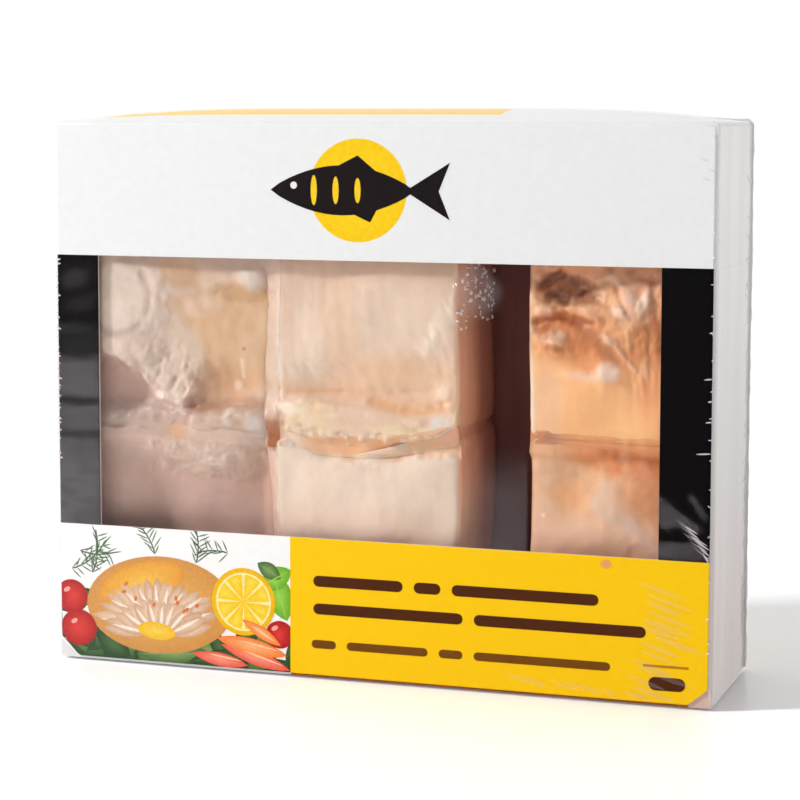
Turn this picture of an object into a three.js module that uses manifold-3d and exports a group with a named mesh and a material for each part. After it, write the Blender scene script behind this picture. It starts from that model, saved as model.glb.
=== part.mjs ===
// A windowed carton of six frozen cod loins, closed in clear shrink film.
// Millimetres. X runs along the front, Y from the front to the back, Z up.
// The origin is at the middle of the base, so the pack stands on Z = 0.

import * as THREE from 'three';
import { mergeVertices } from 'three/addons/utils/BufferGeometryUtils.js';
import Module from 'manifold-3d';

const wasm = await Module();
wasm.setup();

// ---- Driving dimensions ----

// The folded carton, and the film round it.
const CARTON_WIDTH = 210;
const CARTON_DEPTH = 56;
const CARTON_HEIGHT = 170;
const BOARD = 0.6;
const FOLD_RADIUS = 1.2;
const TOP_CROWN = 4;
const FIT_GAP = 0.3;
const FILM = 0.25;

// The window in the front flap, measured from the carton's middle and its base.
const WINDOW_LEFT = -90;
const WINDOW_RIGHT = 89;
const WINDOW_LOW = 43.3;
const WINDOW_HIGH = 128.4;
const FLANGE_STEP = 3;

// The flap's cut edges stand in from the folds, and its lower corners are cut off.
const FLAP_INSET = 0.9;
const FLAP_CORNER_ALONG = 6;
const FLAP_CORNER_UP = 5;

// The welded seam of the film runs up both ends and over the top, behind the middle.
const SEAM_PLACE = 22;
const SEAM_WIDTH = 0.9;
const SEAM_RISE = 0.9;

// Two round vents in the film, at the back.
const VENT_RADIUS = 2.5;
const VENT_SIDES = 12;
const VENT_OUT = 62;

// The loins stand in three columns of two.
const ROW_BASE = 1.6;
const UPPER_TOP = 147;
const LOIN_FRONT = -24;
const LOIN_DEPTH = 39;

// Derived places.
const CARTON_BASE = FILM + FIT_GAP;
const FRONT_FACE = -CARTON_DEPTH / 2;
const GRID_STEPS = { x: 12, y: 6, z: 1 };

// ---- From geometry to solid and back ----

function toSolid(geometry) {
  const bare = geometry.clone();
  bare.deleteAttribute('normal');
  bare.deleteAttribute('uv');
  const merged = mergeVertices(bare, 1e-4);
  return new wasm.Manifold(
    new wasm.Mesh({
      numProp: 3,
      vertProperties: new Float32Array(merged.attributes.position.array),
      triVerts: new Uint32Array(merged.index.array),
    }),
  );
}

function toGeometry(solid) {
  const mesh = solid.getMesh();
  const geometry = new THREE.BufferGeometry();
  geometry.setAttribute('position', new THREE.BufferAttribute(mesh.vertProperties, 3));
  geometry.setIndex(new THREE.BufferAttribute(mesh.triVerts, 1));
  geometry.computeVertexNormals();
  return geometry;
}

// A plain block between two corners.
function blockSolid(low, high) {
  const block = new THREE.BoxGeometry(high[0] - low[0], high[1] - low[1], high[2] - low[2]);
  block.translate((low[0] + high[0]) / 2, (low[1] + high[1]) / 2, (low[2] + high[2]) / 2);
  return toSolid(block);
}

// ---- The carton's form, which the film follows ----

// How far the top panel swells above its folds, pushed up by the frozen load.
function topCrown(x, y) {
  const along = Math.max(0, 1 - Math.abs(x / (CARTON_WIDTH / 2 - FOLD_RADIUS)) ** 5);
  const across = Math.max(0, 1 - Math.abs(y / (CARTON_DEPTH / 2 - FOLD_RADIUS)) ** 2.4);
  return TOP_CROWN * along * across;
}

// Grid lines over one side: a line on each folded edge, and even steps over the flat.
function gridLines(half, flat, steps) {
  const inner = Array.from({ length: steps + 1 }, (_, i) => flat * ((2 * i) / steps - 1));
  return [-half, ...inner, half];
}

// The closed form of the carton, moved out (or in, below zero) by an offset.
// Every offset shares its grid, so two of them make a wall of even thickness.
function packForm(offset) {
  const sides = { x: CARTON_WIDTH, y: CARTON_DEPTH, z: CARTON_HEIGHT };
  const radius = FOLD_RADIUS + offset;
  const axes = Object.keys(sides).map((axis) => {
    const flat = sides[axis] / 2 - FOLD_RADIUS;
    return { flat, lines: gridLines(flat + radius, flat, GRID_STEPS[axis]) };
  });
  const block = new THREE.BoxGeometry(2, 2, 2, ...axes.map((axis) => axis.lines.length - 1));
  const place = block.attributes.position;
  const corner = new THREE.Vector3();
  const core = new THREE.Vector3();
  for (let i = 0; i < place.count; i += 1) {
    const unit = [place.getX(i), place.getY(i), place.getZ(i)];
    const at = axes.map(({ lines }, k) => lines[Math.round(((unit[k] + 1) / 2) * (lines.length - 1))]);
    corner.fromArray(at);
    core.fromArray(at.map((value, k) => THREE.MathUtils.clamp(value, -axes[k].flat, axes[k].flat)));
    corner.sub(core).setLength(radius).add(core);
    const swell = at[2] > axes[2].flat ? topCrown(core.x, core.y) : 0;
    place.setXYZ(i, corner.x, corner.y, corner.z + swell + CARTON_BASE + CARTON_HEIGHT / 2);
  }
  return toSolid(block);
}

// ---- Carton ----

// The front flap's outline, with its lower corners cut off, as a block as deep as the board.
function flapBlock() {
  const side = CARTON_WIDTH / 2 - FLAP_INSET;
  const low = FLAP_INSET;
  const high = CARTON_HEIGHT * 2;
  const outline = new THREE.Shape([
    new THREE.Vector2(-side + FLAP_CORNER_ALONG, low),
    new THREE.Vector2(side - FLAP_CORNER_ALONG, low),
    new THREE.Vector2(side, low + FLAP_CORNER_UP),
    new THREE.Vector2(side, high),
    new THREE.Vector2(-side, high),
    new THREE.Vector2(-side, low + FLAP_CORNER_UP),
  ]);
  const block = new THREE.ExtrudeGeometry(outline, { depth: 4 * BOARD, bevelEnabled: false });
  block.rotateX(Math.PI / 2);
  block.translate(0, FRONT_FACE + 2 * BOARD, CARTON_BASE);
  return toSolid(block);
}

// The board missing beside and below the flap, in front of the tray's own front.
function flapSurround() {
  const reach = CARTON_WIDTH;
  const foldLine = CARTON_BASE + CARTON_HEIGHT - 2 * FOLD_RADIUS;
  const slab = blockSolid([-reach, FRONT_FACE - reach, -reach], [reach, FRONT_FACE + BOARD, foldLine]);
  const above = blockSolid([-reach, FRONT_FACE - 2 * reach, foldLine - 1], [reach, reach, 3 * reach]);
  return slab.subtract(flapBlock()).subtract(above);
}

// The tray's front flanges, glued behind the flap, open a little wider than the window.
function trayFlange() {
  const reach = CARTON_WIDTH / 2 - BOARD / 2;
  const inner = FRONT_FACE + 2 * BOARD;
  const outer = FRONT_FACE + BOARD / 2;
  const base = CARTON_BASE + BOARD / 2;
  const top = CARTON_BASE + CARTON_HEIGHT - BOARD / 2;
  const frame = blockSolid([-reach, outer, base], [reach, inner, top]);
  const opening = blockSolid(
    [WINDOW_LEFT - FLANGE_STEP, FRONT_FACE - 1, CARTON_BASE + WINDOW_LOW - FLANGE_STEP],
    [WINDOW_RIGHT + FLANGE_STEP, FRONT_FACE + 3, CARTON_BASE + WINDOW_HIGH + FLANGE_STEP],
  );
  return frame.subtract(opening);
}

function cartonGeometry() {
  const windowCut = blockSolid(
    [WINDOW_LEFT, FRONT_FACE - 1, CARTON_BASE + WINDOW_LOW],
    [WINDOW_RIGHT, FRONT_FACE + 3, CARTON_BASE + WINDOW_HIGH],
  );
  const shell = packForm(0).subtract(packForm(-BOARD));
  return toGeometry(shell.add(trayFlange()).subtract(flapSurround()).subtract(windowCut));
}

// ---- Film ----

function ventSolid(x) {
  const vent = new THREE.CylinderGeometry(VENT_RADIUS, VENT_RADIUS, 4, VENT_SIDES);
  vent.translate(x, CARTON_DEPTH / 2 + FIT_GAP, CARTON_BASE + CARTON_HEIGHT / 2);
  return toSolid(vent);
}

// The fin of the seam: a thin slice of a slightly larger pack form, above the floor.
function seamSolid() {
  const reach = CARTON_WIDTH;
  const slice = blockSolid(
    [-reach, SEAM_PLACE - SEAM_WIDTH / 2, 0],
    [reach, SEAM_PLACE + SEAM_WIDTH / 2, 2 * reach],
  );
  return packForm(FIT_GAP + FILM + SEAM_RISE).intersect(slice);
}

function filmGeometry() {
  const skin = packForm(FIT_GAP + FILM).add(seamSolid());
  const hollow = packForm(FIT_GAP);
  return toGeometry(skin.subtract(hollow).subtract(ventSolid(-VENT_OUT)).subtract(ventSolid(VENT_OUT)));
}

// ---- Loins ----

// The surface of a cube as a stack of closed rings, with most points along the front.
const FRONT_STEPS = 20;
const SIDE_STEPS = 4;
const BACK_STEPS = 6;
const LEVEL_STEPS = 20;
const CAP_RINGS = [0, 0.6, 0.92];
const EDGE_POWER = 24;
const EDGE_CROWDING = 0.2;

// Steps from -1 to 1 that crowd towards the ends, where the edges turn.
function crowded(step, steps) {
  const even = (2 * step) / steps - 1;
  return even + EDGE_CROWDING * Math.sin(Math.PI * even);
}

function ringPoints() {
  const run = (steps, point) => Array.from({ length: steps }, (_, i) => point(crowded(i, steps)));
  return [
    ...run(FRONT_STEPS, (at) => [at, -1]),
    ...run(SIDE_STEPS, (at) => [1, at]),
    ...run(BACK_STEPS, (at) => [-at, 1]),
    ...run(SIDE_STEPS, (at) => [-1, -at]),
  ];
}

function levelProfile() {
  const cap = (rings, z) => rings.map((ring) => new THREE.Vector2(ring, z));
  const wall = Array.from({ length: LEVEL_STEPS + 1 }, (_, i) => new THREE.Vector2(1, crowded(i, LEVEL_STEPS)));
  return [...cap(CAP_RINGS, -1), ...wall, ...cap(CAP_RINGS, 1).reverse()];
}

// Presses a point of the cube's surface in to a block with rounded edges.
function roundedPoint(x, y, z) {
  const powers = [x, y, z].reduce((sum, value) => sum + Math.abs(value) ** EDGE_POWER, 0);
  const size = powers ** (1 / EDGE_POWER);
  return [x / size, y / size, z / size];
}

// The smooth edge through a value at the left end, the middle and the right end.
function edgeAt([left, middle, right], across) {
  const aside = 2 * across - 1;
  return middle + ((right - left) / 2) * aside + ((right + left) / 2 - middle) * aside ** 2;
}

// A swelling or, with a rise below zero, a hollow in the front: centre, reach along X and Z, rise.
function lump(x, z, reachX, reachZ, rise) {
  return (atX, atZ) => rise * Math.exp(-(((atX - x) / reachX) ** 2) - ((atZ - z) / reachZ) ** 2);
}

// A crumbly rim of flakes along a sloping line from one end to the other.
function rim(x0, z0, x1, z1, reach, rise) {
  return (atX, atZ) => {
    const along = THREE.MathUtils.clamp((atX - x0) / (x1 - x0), 0, 1);
    const beyond = Math.max(0, x0 - atX, atX - x1) / reach;
    const off = (atZ - z0 - (z1 - z0) * along) / reach;
    return rise * Math.exp(-(off ** 2) - beyond ** 2);
  };
}

// Everything below a ragged line stands back, as the face under a torn layer of flakes.
function tornStep(x0, z0, x1, z1, drop) {
  return (atX, atZ) => {
    const along = (atX - x0) / (x1 - x0);
    const line = z0 + (z1 - z0) * along;
    const inside = THREE.MathUtils.smoothstep(1 - along, 0, 0.3);
    return -drop * inside * THREE.MathUtils.smoothstep(line - atZ, -1, 2);
  };
}

// The slow unevenness that every cut face of frozen fish has.
function unevenness(x, z, phase) {
  const slow = Math.sin(x * 0.11 + phase) * Math.cos(z * 0.13 - phase * 2);
  const middling = Math.sin(x * 0.23 - z * 0.17 + phase * 3);
  return 0.6 * slow + 0.3 * middling;
}

// Each loin: its ends along X, its lower and upper edges from left to right, how far its front
// stands back at its foot and its head, its depth, and the relief of its front.
const LOINS = {
  loin_upper_left: {
    ends: [-100.5, -33.3],
    low: [76, 74.2, 72],
    high: [UPPER_TOP - 3, UPPER_TOP, UPPER_TOP - 1],
    setBack: [0, 0],
    depth: LOIN_DEPTH,
    relief: [
      lump(-84, 114, 11, 11, 1.8),
      lump(-81, 100, 9, 5, 1.4),
      tornStep(-92, 98, -60, 82, 3.4),
      lump(-50, 88, 10, 7, -2.4),
      rim(-92, 79, -37, 77, 4, 2.2),
      lump(-40, 121, 4, 4, 1.2),
    ],
  },
  loin_lower_left: {
    ends: [-100.5, -33.9],
    low: [ROW_BASE, ROW_BASE, ROW_BASE],
    high: [75.4, 73.6, 71.4],
    setBack: [21, 1.5],
    depth: LOIN_DEPTH + 4,
    relief: [
      rim(-94, 71, -44, 68.5, 4.5, 1.6),
      lump(-56, 63, 9, 5, 1.2),
      lump(-38, 52, 6, 16, -2),
    ],
  },
  loin_upper_middle: {
    ends: [-32.7, 27.4],
    low: [74.4, 72, 77.6],
    high: [UPPER_TOP, UPPER_TOP + 1, UPPER_TOP - 3],
    setBack: [0, 0.6],
    depth: LOIN_DEPTH,
    relief: [
      lump(0, 108, 22, 14, 0.8),
      rim(-20, 91.5, 18, 88, 4, -1.6),
      rim(-26, 80, 24, 82, 5, 2.6),
      lump(-30, 104, 3, 14, 0.6),
    ],
  },
  loin_lower_middle: {
    ends: [-33, 27.8],
    low: [ROW_BASE, ROW_BASE, ROW_BASE],
    high: [73.8, 71.4, 77],
    setBack: [1, 0.6],
    depth: LOIN_DEPTH,
    relief: [
      lump(-2, 50, 24, 16, 0.8),
      rim(-16, 71.5, 24, 74.5, 3.4, -4.5),
    ],
  },
  loin_upper_right: {
    ends: [47.2, 103],
    low: [77.6, 76.4, 76],
    high: [UPPER_TOP - 4, UPPER_TOP - 2, UPPER_TOP],
    setBack: [1, 1.6],
    depth: LOIN_DEPTH - 1,
    relief: [
      lump(60, 122, 8, 4.5, -3.6),
      lump(58, 112, 7, 3, -2.2),
      lump(56, 106, 4, 3.5, 1.8),
      lump(79, 115, 6, 5, 1.6),
      lump(67, 116, 5, 2.5, 1.4),
      lump(72, 97, 4, 4, 1.6),
      lump(70, 88, 16, 8, 0.8),
    ],
  },
  loin_lower_right: {
    ends: [47.6, 103],
    low: [ROW_BASE, ROW_BASE, ROW_BASE],
    high: [77, 75.8, 75.4],
    setBack: [3, 1.4],
    depth: LOIN_DEPTH - 1,
    relief: [
      lump(74, 56, 14, 7, 1.4),
      lump(62, 66, 9, 4, -1.6),
      lump(56, 52, 6, 14, 0.8),
    ],
  },
};

// How far the two ends pull in, so that no end is a true plane.
const END_WAVE = 0.4;

// A lathe blank gives closed rings round an axis; each of its points is then moved to its place.
function loinGeometry({ ends, low, high, setBack, depth, relief }, phase) {
  const ring = ringPoints();
  const profile = levelProfile();
  const blank = new THREE.LatheGeometry(profile, ring.length);
  const place = blank.attributes.position;
  for (let i = 0; i < place.count; i += 1) {
    const [ringX, ringY] = ring[Math.floor(i / profile.length) % ring.length];
    const level = profile[i % profile.length];
    const [blockX, blockY, blockZ] = roundedPoint(ringX * level.x, ringY * level.x, level.y);
    const across = (blockX + 1) / 2;
    const up = (blockZ + 1) / 2;
    const x = THREE.MathUtils.lerp(ends[0], ends[1], across);
    const z = THREE.MathUtils.lerp(edgeAt(low, across), edgeAt(high, across), up);
    const facing = Math.max(0, -blockY) ** 2;
    const rise = relief.reduce((sum, form) => sum + form(x, z), unevenness(x, z, phase));
    const front = LOIN_FRONT + THREE.MathUtils.lerp(setBack[0], setBack[1], up) - rise * facing;
    const y = THREE.MathUtils.lerp(front, LOIN_FRONT + depth, (blockY + 1) / 2);
    const pull = END_WAVE * (1 + Math.sin(z * 0.09 + phase)) * blockX;
    place.setXYZ(i, x - pull, y, CARTON_BASE + z);
  }
  return toGeometry(toSolid(blank));
}

// ---- Materials and assembly ----

const MATERIALS = {
  carton: { color: 0xececea, roughness: 0.55, metalness: 0 },
  film: { color: 0xf2f4f5, roughness: 0.1, metalness: 0, transparent: true, opacity: 0.2 },
  loin: { color: 0xe3bb97, roughness: 0.5, metalness: 0 },
};

function namedMesh(name, geometry, finish) {
  const mesh = new THREE.Mesh(geometry, new THREE.MeshStandardMaterial(MATERIALS[finish]));
  mesh.name = name;
  return mesh;
}

const group = new THREE.Group();
group.add(namedMesh('carton', cartonGeometry(), 'carton'));
Object.entries(LOINS).forEach(([name, form], index) => {
  group.add(namedMesh(name, loinGeometry(form, index * 1.7), 'loin'));
});
group.add(namedMesh('film', filmGeometry(), 'film'));

export default group;
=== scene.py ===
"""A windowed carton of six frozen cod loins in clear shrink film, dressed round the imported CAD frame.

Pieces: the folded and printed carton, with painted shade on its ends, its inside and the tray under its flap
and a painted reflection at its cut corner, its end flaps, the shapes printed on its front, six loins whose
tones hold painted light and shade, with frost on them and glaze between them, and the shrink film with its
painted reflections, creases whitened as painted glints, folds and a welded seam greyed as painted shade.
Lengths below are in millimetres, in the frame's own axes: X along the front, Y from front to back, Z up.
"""
import math

import bmesh
import bpy
import numpy as np
from mathutils import Matrix, Vector


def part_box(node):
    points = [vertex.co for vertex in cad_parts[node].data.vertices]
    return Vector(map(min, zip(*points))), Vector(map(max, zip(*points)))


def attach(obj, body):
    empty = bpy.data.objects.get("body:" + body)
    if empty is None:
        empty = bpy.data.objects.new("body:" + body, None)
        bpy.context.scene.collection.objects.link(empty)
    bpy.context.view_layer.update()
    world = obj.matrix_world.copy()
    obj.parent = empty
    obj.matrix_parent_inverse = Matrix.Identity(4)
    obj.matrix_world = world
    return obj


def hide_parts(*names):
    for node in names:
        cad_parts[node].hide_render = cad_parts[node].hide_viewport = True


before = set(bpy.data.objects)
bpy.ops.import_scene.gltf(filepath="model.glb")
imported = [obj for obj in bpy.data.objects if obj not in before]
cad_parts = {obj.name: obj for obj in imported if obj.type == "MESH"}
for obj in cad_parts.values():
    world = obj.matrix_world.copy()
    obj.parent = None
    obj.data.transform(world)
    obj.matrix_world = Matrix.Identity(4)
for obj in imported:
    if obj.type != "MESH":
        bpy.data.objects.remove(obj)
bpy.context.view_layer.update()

MM = 0.001

# ---- Sizes shared with the solids ----

CARTON_LOW, CARTON_HIGH = (np.array(corner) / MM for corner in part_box("carton"))
FILM_HIGH = np.array(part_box("film")[1]) / MM
CARTON_WIDTH = CARTON_HIGH[0] - CARTON_LOW[0]
CARTON_DEPTH = CARTON_HIGH[1] - CARTON_LOW[1]
CARTON_BASE = CARTON_LOW[2]
TOP_CROWN = 4.0
CARTON_HEIGHT = CARTON_HIGH[2] - CARTON_BASE - TOP_CROWN
FRONT_FACE = CARTON_LOW[1]
BOARD = 0.6
FOLD_RADIUS = 1.2

WINDOW_LEFT, WINDOW_RIGHT = -90.0, 89.0
WINDOW_LOW = CARTON_BASE + 43.3
WINDOW_HIGH = CARTON_BASE + 128.4

# Where the printed fields of the carton meet, and how high the painted shade on the tray under the flap
# reaches.
PICTURE_RIGHT = -26.0
TOP_YELLOW_RIGHT = 38.0
TOP_YELLOW_FRONT = -19.0
CORNER_CUT = 98.3
TRAY_SHOWS = 8.0


# ---- Helpers: colour, noise, meshes ----

def linear(red, green, blue):
    """A screen colour (0 to 255) as the linear colour that a shader takes."""
    channels = [value / 255 for value in (red, green, blue)]
    curve = [c / 12.92 if c <= 0.04045 else ((c + 0.055) / 1.055) ** 2.4 for c in channels]
    return (*curve, 1.0)


def smooth(value):
    """An ease from 0 to 1."""
    value = np.clip(value, 0, 1)
    return value * value * (3 - 2 * value)


def lattice_noise(points, size, seed):
    """Smooth noise from -1 to 1 at points (N by 3), whose lumps are about one size across."""
    place = points / size + 100.0
    cell = np.floor(place).astype(np.int64)
    part = smooth(place - cell)
    total = np.zeros(len(points))
    for corner in range(8):
        step = np.array([corner & 1, corner >> 1 & 1, corner >> 2 & 1])
        at = cell + step
        mixed = at[:, 0] * 73856093 ^ at[:, 1] * 19349663 ^ at[:, 2] * 83492791 ^ seed * 2654435761
        mixed = (mixed ^ mixed >> 13) * 1274126177 & 0xFFFFFFFF
        mixed = (mixed ^ mixed >> 16) & 0xFFFF
        weight = np.prod(np.where(step, part, 1 - part), axis=1)
        total += weight * (mixed / 32767.5 - 1)
    return total


def layered_noise(points, size, seed, layers=3):
    """Noise with finer and fainter layers added."""
    total = np.zeros(len(points))
    for layer in range(layers):
        total += lattice_noise(points, size / 2**layer, seed + layer) / 2**layer
    return total / (2 - 2 ** (1 - layers))


def mesh_piece(name, points, faces, materials, face_slots=None, smooth_shaded=True):
    """A mesh object from points in millimetres."""
    mesh = bpy.data.meshes.new(name)
    mesh.from_pydata((np.asarray(points, float) * MM).tolist(), [], faces)
    for material in materials:
        mesh.materials.append(material)
    if face_slots is not None:
        mesh.polygons.foreach_set("material_index", face_slots)
    mesh.polygons.foreach_set("use_smooth", [smooth_shaded] * len(mesh.polygons))
    mesh.update()
    piece = bpy.data.objects.new(name, mesh)
    bpy.context.scene.collection.objects.link(piece)
    return piece


def merged_copy(node):
    """A copy of a CAD node's mesh with its loose triangles joined up."""
    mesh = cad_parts[node].data.copy()
    mesh.materials.clear()
    form = bmesh.new()
    form.from_mesh(mesh)
    bmesh.ops.remove_doubles(form, verts=form.verts, dist=1e-6)
    form.to_mesh(mesh)
    form.free()
    return mesh


def point_outwards(mesh):
    """Turns the faces of a closed mesh outwards."""
    form = bmesh.new()
    form.from_mesh(mesh)
    bmesh.ops.recalc_face_normals(form, faces=form.faces)
    form.to_mesh(mesh)
    form.free()


def plain_mesh(piece):
    """Turns a piece with live modifiers into a plain mesh, and removes the modifiers."""
    evaluated = piece.evaluated_get(bpy.context.evaluated_depsgraph_get())
    mesh = bpy.data.meshes.new_from_object(evaluated)
    piece.modifiers.clear()
    piece.data = mesh
    return piece


def read_vectors(items, field):
    """The vectors of one field of a mesh's vertices, as an N by 3 array."""
    flat = np.zeros(len(items) * 3)
    items.foreach_get(field, flat)
    return flat.reshape(-1, 3)


def paint(mesh, name, colours):
    """Keeps a colour for each vertex as a named attribute."""
    layer = mesh.color_attributes.new(name, "FLOAT_COLOR", "POINT")
    layer.data.foreach_set("color", np.asarray(colours, float).ravel())


def place_piece(piece, slot, *nodes):
    """Rides a finished piece on the pack's one body, and hides the CAD nodes that it stands for. The slot is
    not used.
    """
    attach(piece, "root")
    if nodes:
        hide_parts(*nodes)


# ---- Materials ----

BOARD_GLOSS = 0.08


def new_material(name):
    """An empty node material with its output and principled shader."""
    material = bpy.data.materials.new(name)
    material.use_nodes = True
    nodes = material.node_tree.nodes
    return material, nodes, material.node_tree.links, nodes["Principled BSDF"]


def add_node(nodes, kind, **values):
    """A node with its properties, or its inputs' defaults, set by name."""
    node = nodes.new(kind)
    for key, value in values.items():
        if hasattr(node, key):
            setattr(node, key, value)
        else:
            node.inputs[key.replace("_", " ")].default_value = value
    return node


def object_noise(nodes, links, scale, detail=3.0, stretch=(1, 1, 1)):
    """Noise over the piece's own coordinates; scale is in lumps per metre."""
    where = add_node(nodes, "ShaderNodeTexCoord")
    mapping = add_node(nodes, "ShaderNodeMapping", Scale=stretch)
    noise = add_node(nodes, "ShaderNodeTexNoise", Scale=scale, Detail=detail)
    links.new(where.outputs["Object"], mapping.inputs["Vector"])
    links.new(mapping.outputs["Vector"], noise.inputs["Vector"])
    return noise.outputs["Fac"]


def spread(nodes, links, value, low, high, to_low, to_high):
    """A value's range from low to high, eased to another range."""
    ranged = add_node(nodes, "ShaderNodeMapRange", interpolation_type="SMOOTHSTEP")
    for socket, number in zip(ranged.inputs[1:5], (low, high, to_low, to_high)):
        socket.default_value = number
    links.new(value, ranged.inputs["Value"])
    return ranged.outputs["Result"]


def multiply_colours(nodes, links, first, second):
    """The product of two colours, or of a colour and a grey value."""
    product = add_node(nodes, "ShaderNodeMix", data_type="RGBA", blend_type="MULTIPLY")
    product.inputs["Factor"].default_value = 1.0
    links.new(first, product.inputs[6])
    links.new(second, product.inputs[7])
    return product.outputs[2]


def board_bump(nodes, links, shader):
    """The faint fibres under a coated board's surface."""
    bump = add_node(nodes, "ShaderNodeBump", Strength=0.05, Distance=0.00005)
    links.new(object_noise(nodes, links, 900, 2, (1, 1, 0.35)), bump.inputs["Height"])
    links.new(bump.outputs["Normal"], shader.inputs["Normal"])


def board_material(name, colour, roughness=0.5, mottle=0.03, scale=400, stretch=(1, 1, 1)):
    """Coated folding board or a field of ink on it: faint fibres, and ink that isn't quite even."""
    material, nodes, links, shader = new_material(name)
    ramp = add_node(nodes, "ShaderNodeValToRGB")
    ramp.color_ramp.elements[0].position = 0.3
    ramp.color_ramp.elements[1].position = 0.7
    ramp.color_ramp.elements[0].color = (*[c * (1 - mottle) for c in colour[:3]], 1)
    ramp.color_ramp.elements[1].color = colour
    links.new(object_noise(nodes, links, scale, 4, stretch), ramp.inputs["Fac"])
    links.new(ramp.outputs["Color"], shader.inputs["Base Color"])
    board_bump(nodes, links, shader)
    shader.inputs["Roughness"].default_value = roughness
    shader.inputs["Specular IOR Level"].default_value = BOARD_GLOSS
    return material


def end_board_painted_shade_material():
    """White end board under the film, with painted shade: soft upright streaks painted for the film's
    reflections, and painted shade that makes it warmer and darker towards its foot.
    """
    material, nodes, links, shader = new_material("film_shaded_end_board")
    where = add_node(nodes, "ShaderNodeTexCoord")
    axes = add_node(nodes, "ShaderNodeSeparateXYZ")
    links.new(where.outputs["Object"], axes.inputs["Vector"])
    # Painted shade: warmer and darker towards the foot, beside the shadowed floor.
    ramp = add_node(nodes, "ShaderNodeValToRGB")
    steps = ramp.color_ramp.elements
    steps[0].position, steps[0].color = 0.12, linear(222, 205, 199)
    steps[1].position, steps[1].color = 0.9, linear(251, 247, 244)
    steps.new(0.5).color = linear(233, 230, 227)
    height = add_node(nodes, "ShaderNodeMath", operation="MULTIPLY")
    height.inputs[1].default_value = 1000 / (CARTON_HEIGHT + CARTON_BASE)
    links.new(axes.outputs["Z"], height.inputs[0])
    links.new(height.outputs["Value"], ramp.inputs["Fac"])
    # Soft upright streaks: painted reflections of the film.
    streaks = spread(nodes, links, object_noise(nodes, links, 60, 4, (1, 1, 0.12)), 0.3, 0.7, 0.9, 1.0)
    links.new(multiply_colours(nodes, links, ramp.outputs["Color"], streaks), shader.inputs["Base Color"])
    board_bump(nodes, links, shader)
    shader.inputs["Roughness"].default_value = 0.5
    shader.inputs["Specular IOR Level"].default_value = BOARD_GLOSS
    return material


def painted_ink_material():
    """Ink of many colours: each shape's own tones, from its attribute, broken up by a fine grain."""
    material, nodes, links, shader = new_material("printed_shapes_ink")
    tones = add_node(nodes, "ShaderNodeAttribute", attribute_name="ink")
    grain = spread(nodes, links, object_noise(nodes, links, 900, 4), 0.3, 0.7, 0.93, 1.03)
    links.new(multiply_colours(nodes, links, tones.outputs["Color"], grain), shader.inputs["Base Color"])
    board_bump(nodes, links, shader)
    shader.inputs["Roughness"].default_value = 0.45
    shader.inputs["Specular IOR Level"].default_value = BOARD_GLOSS
    return material


def flesh_material():
    """Frozen raw cod: coloured by the tones painted on the mesh, moist, and letting light in."""
    material, nodes, links, shader = new_material("frozen_cod_flesh")
    painted = add_node(nodes, "ShaderNodeAttribute", attribute_name="flesh")
    fibres = spread(nodes, links, object_noise(nodes, links, 260, 5, (1, 1, 0.5)), 0.25, 0.75, 0.965, 1.025)
    links.new(multiply_colours(nodes, links, painted.outputs["Color"], fibres), shader.inputs["Base Color"])
    bump = add_node(nodes, "ShaderNodeBump", Strength=0.25, Distance=0.0002)
    links.new(object_noise(nodes, links, 700, 5, (1, 1, 0.7)), bump.inputs["Height"])
    links.new(bump.outputs["Normal"], shader.inputs["Normal"])
    glaze = spread(nodes, links, object_noise(nodes, links, 120, 3), 0.35, 0.65, 0.45, 0.65)
    links.new(glaze, shader.inputs["Roughness"])
    shader.inputs["Specular IOR Level"].default_value = 0.35
    shader.inputs["Subsurface Weight"].default_value = 0.25
    shader.inputs["Subsurface Radius"].default_value = (1.0, 0.5, 0.28)
    shader.inputs["Subsurface Scale"].default_value = 0.0016
    shader.inputs["Coat Weight"].default_value = 0.06
    shader.inputs["Coat Roughness"].default_value = 0.25
    return material


def frost_material():
    """Frost: white grains of ice."""
    material, nodes, links, shader = new_material("white_frost")
    cloud = add_node(nodes, "ShaderNodeValToRGB")
    cloud.color_ramp.elements[0].color = linear(255, 234, 218)
    cloud.color_ramp.elements[1].color = linear(255, 247, 240)
    links.new(object_noise(nodes, links, 1500, 2), cloud.inputs["Fac"])
    links.new(cloud.outputs["Color"], shader.inputs["Base Color"])
    shader.inputs["Roughness"].default_value = 0.25
    return material


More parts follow.
